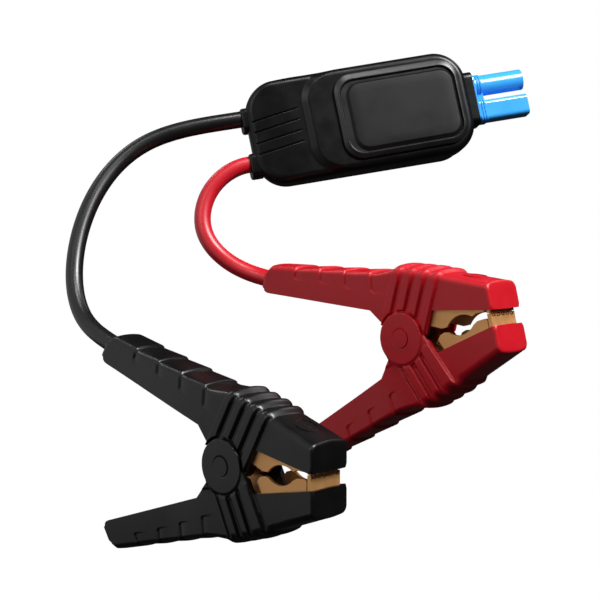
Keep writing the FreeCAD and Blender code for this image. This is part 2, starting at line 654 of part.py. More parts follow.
def jaw_web(tail_end):
    """Base plate of the upper jaw's channel, with its tail running back into the handle."""
    line = [(42.5, 11.2), (26.0, 16.6), (8.0, 18.6), JAW_TAIL_BEND, tail_end]
    under = [(x, z - JAW_THICKNESS) for x, z in reversed(line)]
    strip = prism(line + under, -UPPER_JAW_OUTER, UPPER_JAW_OUTER)
    narrow = [(FAR, UPPER_JAW_OUTER), (4.0, UPPER_JAW_OUTER), (0.0, 4.6), (-FAR, 4.6)]
    return strip.common(plan_prism(narrow + [(x, -y) for x, y in reversed(narrow)], -FAR, FAR))


def toothed_plate(root_z, edge_z, tip_z, count):
    """Plate across the mouth of the jaw, with a row of teeth along its edge."""
    depth = TOOTH_X1 - TOOTH_X0
    low, high = sorted((root_z, edge_z))
    plate = Part.makeBox(depth, 2 * UPPER_JAW_OUTER, high - low, V(TOOTH_X0, -UPPER_JAW_OUTER, low))
    low, high = sorted((edge_z, tip_z))
    for k in range(count):
        y = (k - (count - 1) / 2) * TOOTH_PITCH - TOOTH_WIDTH / 2
        plate = plate.fuse(Part.makeBox(depth, TOOTH_WIDTH, high - low, V(TOOTH_X0, y, low)))
    return plate


def build_upper_jaw(colour, place):
    side = jaw_face(UPPER_JAW).extrude(V(0, JAW_THICKNESS, 0))
    side.translate(V(0, UPPER_JAW_OUTER - JAW_THICKNESS, 0))
    ear = disc(JAW_EAR_RADIUS, UPPER_JAW_OUTER - JAW_THICKNESS, UPPER_JAW_OUTER)
    teeth = toothed_plate(11.4, UPPER_TOOTH_ROOT, UPPER_TOOTH_TIP, TOOTH_COUNT - 1)
    jaw = pair(side.fuse(ear)).fuse(jaw_web(JAW_TAIL_END)).fuse(teeth)
    jaw = jaw.cut(disc(PIN_RADIUS + FIT, -SIDE, SIDE))
    jaw = jaw.cut(Part.makeCylinder(LUG_BOLT_RADIUS + FIT, 20, V(LUG_BOLT_X, 0, 16)))
    save(colour + "_upper_jaw", jaw, place)


def build_lower_jaw(colour, place):
    """Runs inside the upper jaw at the pivot, and steps out to the same width at the mouth."""
    side = jaw_face(LOWER_JAW).extrude(V(0, JAW_THICKNESS, 0))
    side.translate(V(0, UPPER_JAW_OUTER - JAW_THICKNESS, 0))
    inner = LOWER_EAR_OUTER - JAW_THICKNESS
    neck = prism([(0.0, -4.0), (-5.0, -5.0), (2.0, -17.0), (14.0, -17.4), (14.0, -9.4), (5.0, -4.0)],
                 inner, LOWER_EAR_OUTER)
    joggle = prism([(12.0, -9.2), (14.0, -9.2), (14.0, -17.2), (12.0, -17.2)], inner, UPPER_JAW_OUTER)
    ear = disc(JAW_EAR_RADIUS, inner, LOWER_EAR_OUTER)
    teeth = toothed_plate(-11.2, LOWER_TOOTH_ROOT, LOWER_TOOTH_TIP, TOOTH_COUNT)
    jaw = pair(side.fuse(joggle).fuse(neck).fuse(ear)).fuse(teeth).fuse(mirrored_z(jaw_web(LOWER_TAIL_END)))
    save(colour + "_lower_jaw", jaw.cut(disc(PIN_RADIUS + EPS, -SIDE, SIDE)), place)


def build_spring(colour, place):
    """Torsion spring round the pin, with a leg against each jaw's tail."""
    pitch = SPRING_WIRE + 0.15
    height = pitch * SPRING_TURNS
    coil_path = Part.makeHelix(pitch, height, SPRING_RADIUS)
    first = coil_path.Edges[0]
    start = first.valueAt(first.FirstParameter)
    ring = Part.Wire(Part.makeCircle(SPRING_WIRE / 2, start, first.tangentAt(first.FirstParameter)))
    coil = Part.Wire(coil_path.Edges).makePipeShell([ring], True, True)
    coil.rotate(V(0, 0, 0), V(1, 0, 0), -90)
    coil.translate(V(0, -height / 2, 0))
    angle = math.radians(SPRING_LEG_ANGLE)
    spring = coil
    for side, y in ((1, height / 2), (-1, -height / 2)):
        touch = V(SPRING_RADIUS * math.sin(angle), y, side * SPRING_RADIUS * math.cos(angle))
        run = V(-math.cos(angle), 0, side * math.sin(angle)) * SPRING_LEG_LENGTH
        spring = spring.fuse(rod(touch, touch + run, SPRING_WIRE / 2))
    save(colour + "_torsion_spring", spring, place)


def build_lug(colour, place):
    """Crimp lug on the cable core, screwed to the jaw's tail."""
    along = entry_direction()
    mouth = CABLE_ENTRY + along * (CABLE_TAIL + 0.6)
    back = mouth + along * CORE_TAIL
    barrel = Part.makeCylinder(CORE_OD / 2 + LUG_WALL, CORE_TAIL, mouth, along)
    seat_z = tail_height(LUG_BOLT_X)
    heel_x = LUG_BOLT_X - 6.0
    toe_x = LUG_BOLT_X + 4.0
    tongue = prism([(back.x - 0.5, back.z + 1.2), (heel_x, seat_z + 3.0), (toe_x, seat_z + 0.75),
                    (toe_x, seat_z - 0.85), (heel_x, seat_z + 1.42), (back.x - 0.5, back.z - 0.6)], -3.6, 3.6)
    lug = barrel.fuse(tongue)
    lug = lug.cut(Part.makeCylinder(CORE_OD / 2 + CORE_GAP, CORE_TAIL - 0.4, mouth, along))
    lug = lug.cut(Part.makeCylinder(LUG_BOLT_RADIUS + FIT, 20, V(LUG_BOLT_X, 0, seat_z - 8)))
    save(colour + "_cable_lug", lug, place)
    head_z = seat_z + 2.4
    head = Part.makeCylinder(2.8, 1.6, V(LUG_BOLT_X, 0, head_z))
    shank = Part.makeCylinder(LUG_BOLT_RADIUS, 5.0, V(LUG_BOLT_X, 0, head_z - 5.0))
    save(colour + "_lug_screw", head.fuse(shank), place)


def build_clamp(colour, place):
    build_upper_cover(colour, place)
    build_lower_cover(colour, place)
    build_upper_jaw(colour, place)
    build_lower_jaw(colour, place)
    build_pin_and_caps(colour, place)
    build_spring(colour, place)
    build_lug(colour, place)


# ---------------------------------------------------------------- whole object
os.makedirs("parts", exist_ok=True)
build_box_shells()
build_ring_and_panel()
build_box_screws()
build_reliefs()
build_electronics()
build_busbars()
build_plug()
black_place = clamp_placement(BLACK_PIVOT, BLACK_PITCH)
red_place = clamp_placement(RED_PIVOT, RED_PITCH)
build_clamp("black", black_place)
build_clamp("red", red_place)
build_cable("black", BLACK_EXIT_Z, BLACK_WAYPOINTS, black_place, BLACK_FLEX_SHARE)
build_cable("red", RED_EXIT_Z, RED_WAYPOINTS, red_place, RED_FLEX_SHARE)
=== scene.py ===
import json
import math
import bmesh
import bpy
import numpy as np
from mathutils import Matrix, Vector


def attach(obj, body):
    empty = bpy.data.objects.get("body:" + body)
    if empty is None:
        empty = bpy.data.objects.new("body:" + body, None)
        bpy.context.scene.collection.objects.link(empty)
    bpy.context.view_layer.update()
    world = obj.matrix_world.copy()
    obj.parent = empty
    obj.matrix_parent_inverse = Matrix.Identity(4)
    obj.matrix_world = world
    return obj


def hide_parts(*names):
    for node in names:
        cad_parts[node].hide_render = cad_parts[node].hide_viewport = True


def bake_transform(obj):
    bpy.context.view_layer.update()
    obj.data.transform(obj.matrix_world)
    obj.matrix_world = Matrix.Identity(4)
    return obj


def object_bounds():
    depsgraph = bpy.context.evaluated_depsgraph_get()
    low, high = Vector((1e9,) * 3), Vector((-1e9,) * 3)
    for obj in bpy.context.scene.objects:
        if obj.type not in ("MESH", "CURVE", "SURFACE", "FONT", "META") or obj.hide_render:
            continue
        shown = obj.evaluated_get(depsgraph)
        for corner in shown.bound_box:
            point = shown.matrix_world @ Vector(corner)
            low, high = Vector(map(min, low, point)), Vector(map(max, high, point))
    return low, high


# The looks of the clamp lead set.  Shapes are worked out in millimetres and then placed in the CAD frame in
# metres.  A clamp's own axes: x from its handle's end to its nose, y across it, z up, and 0 at its pivot.
# The box's own axes: x from the cables to the plug, y from its front to its back, and z up.

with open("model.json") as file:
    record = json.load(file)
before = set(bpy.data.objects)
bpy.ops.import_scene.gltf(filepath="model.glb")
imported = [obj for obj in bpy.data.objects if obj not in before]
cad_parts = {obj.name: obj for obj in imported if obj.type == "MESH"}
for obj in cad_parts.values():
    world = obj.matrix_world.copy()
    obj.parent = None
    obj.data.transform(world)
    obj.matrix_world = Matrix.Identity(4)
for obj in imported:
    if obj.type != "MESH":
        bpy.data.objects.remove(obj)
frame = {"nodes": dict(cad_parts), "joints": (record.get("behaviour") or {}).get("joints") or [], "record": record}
cad_low, cad_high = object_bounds()
MM = 0.001
COLOURS = ("black", "red")


# ---------------------------------------------------------------- small helpers
def unit(v):
    v = np.array(v, float)
    return v / np.linalg.norm(v)


def smooth(low, high, x):
    """0 before low, 1 after high, and a smooth step between."""
    t = np.clip((np.asarray(x, float) - low) / (high - low), 0.0, 1.0)
    return t * t * (3.0 - 2.0 * t)


def mix(a, b, t):
    return a + (b - a) * t


def named(entries, name):
    return [entry for entry in entries if entry["name"] == name][0]


def joint_place(name):
    return np.array(named(frame["joints"], name)["pos_m"])


# ---------------------------------------------------------------- frames of reference
BOX_BACK_Y = 11.0
mounts = frame["record"]["mounts"]
box_y = unit(named(mounts, "box_back_face")["axis"])
box_x = unit(named(mounts, "plug_negative_socket")["axis"])
box_z = np.cross(box_x, box_y)


def box_place(points):
    """Box axes in mm to the CAD frame in metres."""
    p = np.asarray(points, float)
    return (p[..., 0:1] * box_x + (p[..., 1:2] - BOX_BACK_Y) * box_y + p[..., 2:3] * box_z) * MM


# How far each clamp is tipped nose-up at rest.
PITCH = {"black": 0.0, "red": math.radians(14.2)}


def clamp_axes(colour):
    """A clamp's own x, y and z, as ways in the CAD frame."""
    c, s = math.cos(PITCH[colour]), math.sin(PITCH[colour])
    return np.array([c, 0.0, s]), np.array([0.0, 1.0, 0.0]), np.array([-s, 0.0, c])


def clamp_place(colour, points):
    """Clamp axes in mm to the CAD frame in metres."""
    p = np.asarray(points, float)
    x, y, z = clamp_axes(colour)
    pivot = joint_place(colour + "_clamp_open")
    return pivot + (p[..., 0:1] * x + p[..., 1:2] * y + p[..., 2:3] * z) * MM


# ---------------------------------------------------------------- mesh makers
MERGE_GAP = 1e-7
LEAST_EDGE = 1e-8


def make_object(name, points, faces, sharp_angle=40.0, tidy=True):
    """A mesh object, shaded smooth across edges flatter than sharp_angle degrees."""
    mesh = bpy.data.meshes.new(name)
    mesh.from_pydata([tuple(p) for p in np.asarray(points, float)], [], [tuple(f) for f in faces])
    if tidy:
        work = bmesh.new()
        work.from_mesh(mesh)
        bmesh.ops.remove_doubles(work, verts=work.verts, dist=MERGE_GAP)
        bmesh.ops.dissolve_degenerate(work, edges=work.edges, dist=LEAST_EDGE)
        bmesh.ops.recalc_face_normals(work, faces=work.faces)
        work.to_mesh(mesh)
        work.free()
    mesh.shade_smooth()
    mesh.set_sharp_from_angle(angle=math.radians(sharp_angle))
    obj = bpy.data.objects.new(name, mesh)
    bpy.context.scene.collection.objects.link(obj)
    return obj


def grid_faces(rows, cols, first=0, wrap_rows=False, wrap_cols=False):
    """Four-sided faces over a grid of points that were numbered row by row from first."""
    faces = []
    for i in range(rows if wrap_rows else rows - 1):
        here, after = first + i * cols, first + (i + 1) % rows * cols
        for j in range(cols if wrap_cols else cols - 1):
            m = (j + 1) % cols
            faces.append((here + j, after + j, after + m, here + m))
    return faces


def tube_mesh(path, radius, segments, up):
    """Round bar along a dense path, with flat ends; up is any way that the path doesn't start along."""
    tangents = np.gradient(path, axis=0)
    tangents /= np.linalg.norm(tangents, axis=1)[:, None]
    normal = unit(np.cross(tangents[0], up))
    rings = []
    for p, t in zip(path, tangents):
        normal = unit(normal - t * (normal @ t))
        side = np.cross(t, normal)
        for k in range(segments):
            a = 2.0 * math.pi * k / segments
            rings.append(p + radius * (math.cos(a) * normal + math.sin(a) * side))
    rows = len(path)
    faces = grid_faces(rows, segments, wrap_cols=True)
    faces.append(tuple(range(segments))[::-1])
    faces.append(tuple((rows - 1) * segments + k for k in range(segments)))
    return rings, faces


# ---------------------------------------------------------------- materials
# A mix node's sockets have the same names for every data type, so they are picked by number.
MIX_FACTOR = 0
MIX_FLOATS, MIX_FLOAT_OUT = (2, 3), 0
MIX_COLOURS, MIX_COLOUR_OUT = (6, 7), 2
PATCH_NOISE = {"Detail": 4.0, "Roughness": 0.55}
GRAIN_NOISE = {"Detail": 2.0, "Roughness": 0.5}
STREAK_NOISE = {"Scale": 60.0, "Detail": 3.0}
GLOSS_SPAN = (0.3, 0.7)
BUMP_STRENGTH = 0.5
COAT_ROUGHNESS = 0.18
SUBSURFACE_RADIUS = (0.004, 0.001, 0.001)
SUBSURFACE_SCALE = 0.5


def set_inputs(made, values):
    for key, value in values.items():
        made.inputs[key].default_value = value


def surface(name, colour, dark, roughness, metallic=0.0, specular=0.5, coat=0.0, grain=900.0,
            grain_depth=0.02, mottle=120.0, rough_spread=0.12, scratch=0.0, subsurface=0.0):
    """Procedural finish: two tones mottled together, uneven gloss, and moulded grain as a bump.

    grain and mottle are noise scales, grain_depth is in millimetres, and scratch stretches the gloss
    pattern into streaks."""
    mat = bpy.data.materials.new(name)
    mat.use_nodes = True
    tree = mat.node_tree
    shader = tree.nodes["Principled BSDF"]
    place = tree.nodes.new("ShaderNodeTexCoord")
    patches = tree.nodes.new("ShaderNodeTexNoise")
    set_inputs(patches, {"Scale": mottle, **PATCH_NOISE})
    fine = tree.nodes.new("ShaderNodeTexNoise")
    set_inputs(fine, {"Scale": grain, **GRAIN_NOISE})
    tree.links.new(place.outputs["Object"], patches.inputs["Vector"])
    tree.links.new(place.outputs["Object"], fine.inputs["Vector"])
    tones = tree.nodes.new("ShaderNodeMix")
    tones.data_type = "RGBA"
    for socket, tone in zip(MIX_COLOURS, (dark, colour)):
        tones.inputs[socket].default_value = (*tone, 1.0)
    tree.links.new(patches.outputs["Fac"], tones.inputs[MIX_FACTOR])
    tree.links.new(tones.outputs[MIX_COLOUR_OUT], shader.inputs["Base Color"])
    gloss = tree.nodes.new("ShaderNodeMapRange")
    set_inputs(gloss, {"From Min": GLOSS_SPAN[0], "From Max": GLOSS_SPAN[1],
                       "To Min": roughness * (1.0 - rough_spread),
                       "To Max": roughness * (1.0 + rough_spread)})
    source = patches
    if scratch:
        streaks = tree.nodes.new("ShaderNodeTexNoise")
        set_inputs(streaks, STREAK_NOISE)
        stretch = tree.nodes.new("ShaderNodeMapping")
        stretch.inputs["Scale"].default_value = (1.0, 1.0, scratch)
        tree.links.new(place.outputs["Object"], stretch.inputs["Vector"])
        tree.links.new(stretch.outputs["Vector"], streaks.inputs["Vector"])
        source = streaks
    tree.links.new(source.outputs["Fac"], gloss.inputs["Value"])
    tree.links.new(gloss.outputs["Result"], shader.inputs["Roughness"])
    bump = tree.nodes.new("ShaderNodeBump")
    set_inputs(bump, {"Strength": BUMP_STRENGTH, "Distance": grain_depth * MM})
    tree.links.new(fine.outputs["Fac"], bump.inputs["Height"])
    tree.links.new(bump.outputs["Normal"], shader.inputs["Normal"])
    set_inputs(shader, {"Metallic": metallic, "Specular IOR Level": specular, "Coat Weight": coat,
                        "Coat Roughness": COAT_ROUGHNESS, "Subsurface Weight": subsurface})
    if subsurface:
        set_inputs(shader, {"Subsurface Radius": SUBSURFACE_RADIUS, "Subsurface Scale": SUBSURFACE_SCALE})
    return mat


# Each slot's light tone, dark tone and roughness, and whatever else isn't as surface() has it.
FINISHES = {
    "box_plastic": ((0.0032, 0.0032, 0.0036), (0.0020, 0.0020, 0.0023), 0.32,
                    dict(specular=0.27, grain=2600.0, grain_depth=0.008)),
    "ring_plastic": ((0.006, 0.006, 0.0065), (0.004, 0.004, 0.0044), 0.34,
                     dict(grain=2600.0, grain_depth=0.008)),
    "panel_plastic": ((0.0055, 0.0055, 0.006), (0.0032, 0.0032, 0.0036), 0.46,
                      dict(specular=0.27, grain=3400.0, grain_depth=0.06)),
    "blue_plastic": ((0.05, 0.42, 1.0), (0.04, 0.34, 0.92), 0.24,
                     dict(coat=0.3, grain=700.0, grain_depth=0.01)),
    "contact_brass": ((0.80, 0.60, 0.30), (0.62, 0.44, 0.20), 0.30, dict(metallic=1.0)),
    "bare_copper": ((0.72, 0.40, 0.24), (0.52, 0.27, 0.15), 0.38, dict(metallic=1.0, scratch=12.0)),
    "board_laminate": ((0.02, 0.18, 0.07), (0.01, 0.11, 0.05), 0.35, {}),
    "component_plastic": ((0.03, 0.03, 0.034), (0.018, 0.018, 0.02), 0.5, {}),
    "dark_steel": ((0.16, 0.155, 0.15), (0.07, 0.068, 0.066), 0.34, dict(metallic=1.0, scratch=9.0)),
    "tinned_copper": ((0.66, 0.63, 0.58), (0.46, 0.44, 0.41), 0.32, dict(metallic=1.0)),
    "jaw_copper": ((0.86, 0.46, 0.18), (0.70, 0.35, 0.12), 0.42,
                   dict(metallic=0.6, mottle=260.0, grain=1500.0, rough_spread=0.25)),
    "black_cable_rubber": ((0.006, 0.006, 0.0065), (0.004, 0.004, 0.0045), 0.34,
                           dict(specular=0.6, grain=300.0, grain_depth=0.0015, mottle=60.0)),
    "red_cable_rubber": ((0.62, 0.008, 0.022), (0.50, 0.005, 0.014), 0.36,
                         dict(specular=0.65, grain=300.0, grain_depth=0.0015, mottle=60.0,
                              subsurface=0.05)),
    "black_clamp_plastic": ((0.0036, 0.0036, 0.004), (0.0022, 0.0022, 0.0025), 0.33,
                            dict(specular=0.46, grain=2300.0, grain_depth=0.008)),
    "red_clamp_plastic": ((0.56, 0.008, 0.018), (0.46, 0.005, 0.012), 0.38,
                          dict(specular=0.36, grain=2300.0, grain_depth=0.008, subsurface=0.04)),
}
MATERIALS = {name: surface(name, light, dark, rough, **rest)
             for name, (light, dark, rough, rest) in FINISHES.items()}


def finish_piece(obj, slot, body=None):
    """Gives a piece its material and slot, and has it ride on body."""
    obj.data.materials.clear()
    obj.data.materials.append(MATERIALS[slot])
    if body:
        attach(obj, body)


# ---------------------------------------------------------------- clamp covers
# Matched points of a cover's inner edge and its outer edge, as x and z, from the handle's end to the nose.
# The lower cover is made the same way up as the upper one, and then turned over.
HANDLE_END = ((-73.0, 35.2), (-68.9, 41.7))
HANDLE_TURN = [((-72.9, 34.0), (-68.2, 42.9)), ((-71.9, 33.0), (-66.6, 43.5)),
               ((-70.2, 32.3), (-64.6, 43.1))]
HANDLE_BEND = ((-14.3, 14.1), (-8.0, 28.6))
NOSE_BACK = ((19.5, 7.7), (25.5, 20.2))
NOSE_FRONT = ((44.0, 3.15), (44.0, 13.4))
UPPER_EDGES = [HANDLE_END] + HANDLE_TURN + [
    HANDLE_BEND, ((-9.2, 7.8), (-3.5, 28.2)), ((-5.5, -2.0), (0.5, 27.9)), ((0.0, -4.2), (5.0, 27.1)),
    ((6.0, -3.6), (10.0, 25.6)), ((12.4, -0.4), (17.5, 23.3)), ((16.8, 8.2), (22.0, 21.5)),
    NOSE_BACK, NOSE_FRONT]

# The lower cover's ear is a disc round the pivot.  EAR_ARC has angles round it, each with its match on the
# outer edge, and the matched points in front of it follow.  EAR_OUTER and EAR_INNER are how far its two
# faces are from the clamp's middle.  EAR_RIM is the least step beside it, out to EAR_CLEAR.  The cover's
# raised side stops at the line from EAR_FRONT to EAR_LINE_END.
EAR_RADIUS = 10.5
EAR_EDGE = (-0.25, 0.15)
EAR_OUTER = 11.2
EAR_INNER = 9.55
EAR_RIM = 0.4
EAR_ARC = [(140.0, (-2.6, 28.1)), (158.0, (-0.8, 28.0)), (180.0, (1.0, 27.9)), (202.0, (2.5, 27.6)),
           (225.0, (4.0, 27.3)), (248.0, (6.0, 26.8)), (270.0, (8.0, 26.2)), (292.0, (10.0, 25.6)),
           (315.0, (12.0, 24.9)), (337.0, (14.0, 24.4)), (354.0, (16.0, 23.8))]
EAR_FRONT = (11.6, 1.2)
EAR_FRONT_OUT = (18.0, 23.15)
EAR_TO_NOSE = [((15.3, 8.2), (22.0, 21.5)), ((16.8, 8.3), (23.2, 21.1))]
EAR_LINE_END = (21.5, 20.0)
EAR_LINE_EDGE = (-0.6, 0.1)
EAR_CLEAR = (12.2, 13.2)
CAP_SEAT_RADIUS = 3.78
CAP_SEAT_DEPTH = 0.32
CAP_SEAT_EDGE = 0.3

# Sections across a cover: half widths and where along x they change, corner radii, wall and crown.
HANDLE_HALF = 8.0
BODY_HALF = 9.4
NOSE_HALF = 9.8
HANDLE_SPAN = (-74.0, -14.0)
NOSE_SPAN = (15.0, 40.0)
CORNER_RADII = (1.9, 2.3)
CORNER_SPAN = (-20.0, 30.0)
WALL = 1.5
SIDE_MARGIN = 0.3
LEAST_RADIUS = 0.6
MOST_CORNER_SHARE = 0.8
CROWN = 1.0
STATION_STEP = 0.36
SIDE_POINTS = {False: 54, True: 92}
CORNER_POINTS = 7
TOP_POINTS = 11

# The closed ends: the nose's front wall, and the handle's end wall with the cable's opening in it.
NOSE_X = 45.3
NOSE_LOW = 2.95
NOSE_ROUND = 1.3
NOSE_FOOT = 2.2
NOSE_FOOT_PINCH = 0.12
NOSE_FILL = (0.8, 0.6, 0.4, 0.2, 0.0)
END_ROUND = 1.7
END_HALF = 7.0
END_FILL = (0.33, 0.66, 1.0)
END_HOLE_SHARE = 0.33
END_HOLE_RADIUS = 3.95
END_HOLE_SINK = 0.2
ROUND_STEPS = 5

# Finger ramps along the handle's outer edge, and the hooked pads in its sides in line with them.
OUTER_START = (-67.6, 43.8)
OUTER_SLOPE = 0.2557
SCALLOP_X0 = -52.8
SCALLOP_PITCH = 13.8
SCALLOP_STEP = 0.85
SCALLOP_RISER = 0.7
HOOK_BACK = 0.1
HOOK_DEPTHS = (5.6, 6.4, 7.6, 8.9)
HOOK_SLOPES = (0.3, 0.1, 0.1, 0.1)
HOOK_CORNER = 1.8
HOOK_EDGE = 0.6
HOOK_STEP = 0.85
HOOK_REACH = 1.7

# Slanted ribs on the upper cover.  A rib's flanks rise and fall over these distances from its middle.
RIB_SLANT = 0.56
RIB_LEVEL = 28.4
RIB_START = 4.9
RIB_PITCH = 7.0
RIB_COUNT = 4
RIB_RISE = (-2.5, -1.9)
RIB_FALL = (1.5, 2.3)
RIB_HEIGHT = 1.35
RIB_SHARPNESS = 0.75
RIB_GAP_RADIUS = 11.1
RIB_GAP_EDGE = 0.35
RIB_FOOT = (1.0, 1.8)
RIB_FOOT_AHEAD = (0.3, 0.7)

# The three ribs on the lower cover, each as its middle and its half width.  Behind them is the arm's raised
# side, and between them and the ear a flank.
LOWER_RIBS = [(1.9, 1.8), (8.6, 1.6), (16.8, 3.8)]
LOWER_RIB_SLANT = 0.47
LOWER_RIB_LEVEL = 15.0
LOWER_RIB_FLANK = (-0.2, 0.7)
LOWER_RIB_BACK = (-2.6, -1.6)
LOWER_RIB_START = (-2.2, 0.0)
LOWER_RIB_HEIGHT = 1.6
LOWER_RIB_REACH = (11.2, 11.8)
LOWER_RIB_FOOT = (7.0, 8.0)
LOWER_RIB_FOOT_SLOPE = 0.25
ARM_HEIGHT = 0.95
ARM_SPAN = (-34.0, -9.0)
FLANK_HEIGHT = 1.25
COVER_SHARP = 50.0


def ear_edges():
    """The lower cover's edges: its inner edge runs right round the ear."""
    arc = []
    for angle, top in EAR_ARC:
        a = math.radians(angle)
        arc.append(((EAR_RADIUS * math.cos(a), EAR_RADIUS * math.sin(a)), top))
    front = [(EAR_FRONT, EAR_FRONT_OUT)] + EAR_TO_NOSE + [NOSE_BACK, NOSE_FRONT]
    return [HANDLE_END] + HANDLE_TURN + [HANDLE_BEND] + arc + front


def stations(edges, step):
    """Evenly stepped points along both edges together."""
    low, high = [], []
    for (b0, t0), (b1, t1) in zip(edges[:-1], edges[1:]):
        length = max(math.dist(b0, b1), math.dist(t0, t1))
        count = max(1, round(length / step))
        for k in range(count):
            f = k / count
            low.append([mix(b0[0], b1[0], f), mix(b0[1], b1[1], f)])
            high.append([mix(t0[0], t1[0], f), mix(t0[1], t1[1], f)])
    low.append(edges[-1][0])
    high.append(edges[-1][1])
    return np.array(low), np.array(high)


def ring_pattern(side_points):
    """Near half of a section: share up its side, angle in its corner and share along its top."""
    side = [(v, 0.0, 0.0) for v in np.linspace(0.0, 1.0, side_points)]
    corner = [(1.0, a, 0.0) for a in np.linspace(0.0, math.pi / 2, CORNER_POINTS + 2)[1:]]
    top = [(1.0, math.pi / 2, f) for f in np.linspace(0.0, 1.0, TOP_POINTS + 1)[1:]]
    return np.array(side + corner + top)


# By whether it is the lower cover.
PATTERN = {lower: ring_pattern(count) for lower, count in SIDE_POINTS.items()}


def section(low, high, half, radius, lower):
    """Near half of one section, from the inner edge to the middle of the top: points and normals."""
    up = high - low
    height = np.linalg.norm(up)
    up = up / height
    radius = min(radius, half * MOST_CORNER_SHARE, height * MOST_CORNER_SHARE)
    v, a, f = PATTERN[lower].T
    along = v * (height - radius) + radius * np.sin(a)
    across = (half - radius + radius * np.cos(a)) * (1.0 - f)
    points = np.stack([low[0] + up[0] * along, -across, low[1] + up[1] * along], axis=1)
    normals = np.stack([up[0] * np.sin(a), -np.cos(a), up[1] * np.sin(a)], axis=1)
    return points, normals


def scallop_height(x):
    """Finger ramps along the outer edge: each ends in a crest with a short riser in front of it."""
    height = np.zeros_like(x)
    for k in range(len(HOOK_DEPTHS)):
        t = x - (SCALLOP_X0 + SCALLOP_PITCH * k)
        ramp = np.clip(1.0 - t / SCALLOP_PITCH, 0.0, 1.0)
        height -= SCALLOP_STEP * smooth(0.0, SCALLOP_RISER, t) * ramp * (t > 0) * (t < SCALLOP_PITCH)
    return height


def hook_height(x, z):
    """Finger pads set into the side, each with a hooked step at its back."""
    depth = OUTER_START[1] - OUTER_SLOPE * (x - OUTER_START[0]) - z
    height = np.zeros_like(x)
    for k, (pad_depth, slope) in enumerate(zip(HOOK_DEPTHS, HOOK_SLOPES)):
        a = x - (SCALLOP_X0 + SCALLOP_PITCH * k + HOOK_BACK - slope * depth)
        b = pad_depth - depth
        from_corner = np.hypot(np.minimum(a - HOOK_CORNER, 0.0), np.minimum(b - HOOK_CORNER, 0.0))
        in_corner = (a < HOOK_CORNER) & (b < HOOK_CORNER)
        inside = np.where(in_corner, HOOK_CORNER - from_corner, np.minimum(a, b))
        fade = np.exp(-np.maximum(a, 0.0) / HOOK_REACH)
        height -= HOOK_STEP * smooth(0.0, HOOK_EDGE, inside) * fade
    return height


def side_ribs(q):
    """1 on a rib and 0 between ribs, for the slanted coordinate q."""
    wave = np.zeros_like(q)
    for k in range(RIB_COUNT):
        distance = q - (RIB_START + RIB_PITCH * k)
        wave = np.maximum(wave, smooth(*RIB_RISE, distance) * (1.0 - smooth(*RIB_FALL, distance)))
    return wave


def top_ribs(q):
    """Round humps where the ribs cross the outer edge."""
    first, last = RIB_START - RIB_PITCH / 2, RIB_START + RIB_PITCH * (RIB_COUNT - 0.5)
    wave = 0.5 + 0.5 * np.cos(2.0 * math.pi * (q - RIB_START) / RIB_PITCH)
    return wave ** RIB_SHARPNESS * (q > first) * (q < last)


def lower_ribs(x, z):
    """1 on the lower cover's arm and ribs and 0 between them, and the slanted coordinate."""
    q = x + (LOWER_RIB_LEVEL - z) * LOWER_RIB_SLANT
    wave = 1.0 - smooth(*LOWER_RIB_BACK, q)
    inner, outer = LOWER_RIB_FLANK
    for centre, half in LOWER_RIBS:
        wave = np.maximum(wave, 1.0 - smooth(half + inner, half + outer, np.abs(q - centre)))
    return wave, q


def relief_height(x, z, top_share, lower):
    """How far the moulded detail stands off the plain cover; top_share is 1 on top and 0 on the sides."""
    q = x + (RIB_LEVEL - z) * RIB_SLANT
    reach = np.hypot(x, z)
    (x0, z0), (x1, z1) = EAR_FRONT, EAR_LINE_END
    along = unit([x1 - x0, z1 - z0])
    ahead = (x - x0) * along[1] - ((z if lower else -z) - z0) * along[0]
    if lower:
        wave, across = lower_ribs(x, z)
        arm = ARM_HEIGHT * smooth(*ARM_SPAN, x)
        arm_end = 1.0 - smooth(*LOWER_RIB_BACK, across)
        ribs = mix(arm * arm_end, LOWER_RIB_HEIGHT, wave * smooth(*LOWER_RIB_START, across))
        foot = smooth(*LOWER_RIB_FOOT, z + LOWER_RIB_FOOT_SLOPE * x)
        flank = mix(FLANK_HEIGHT, ribs, smooth(*LOWER_RIB_REACH, reach) * foot)
        disc = 1.0 - smooth(EAR_RADIUS + EAR_EDGE[0], EAR_RADIUS + EAR_EDGE[1], reach)
        seat = CAP_SEAT_DEPTH * (1.0 - smooth(CAP_SEAT_RADIUS, CAP_SEAT_RADIUS + CAP_SEAT_EDGE, reach))
        behind = 1.0 - smooth(*EAR_LINE_EDGE, ahead) * (1.0 - disc)
        side = mix(flank, EAR_OUTER - BODY_HALF - seat, disc) * behind
        side = np.maximum(side, EAR_RIM * (1.0 - smooth(*EAR_CLEAR, reach)))
    else:
        foot = np.maximum(smooth(*RIB_FOOT, z), smooth(*RIB_FOOT_AHEAD, ahead))
        gap = smooth(RIB_GAP_RADIUS, RIB_GAP_RADIUS + RIB_GAP_EDGE, reach)
        side = RIB_HEIGHT * side_ribs(q) * gap * foot
    side = side + hook_height(x, z)
    top = RIB_HEIGHT * top_ribs(q) + scallop_height(x)
    return mix(side, top, top_share)


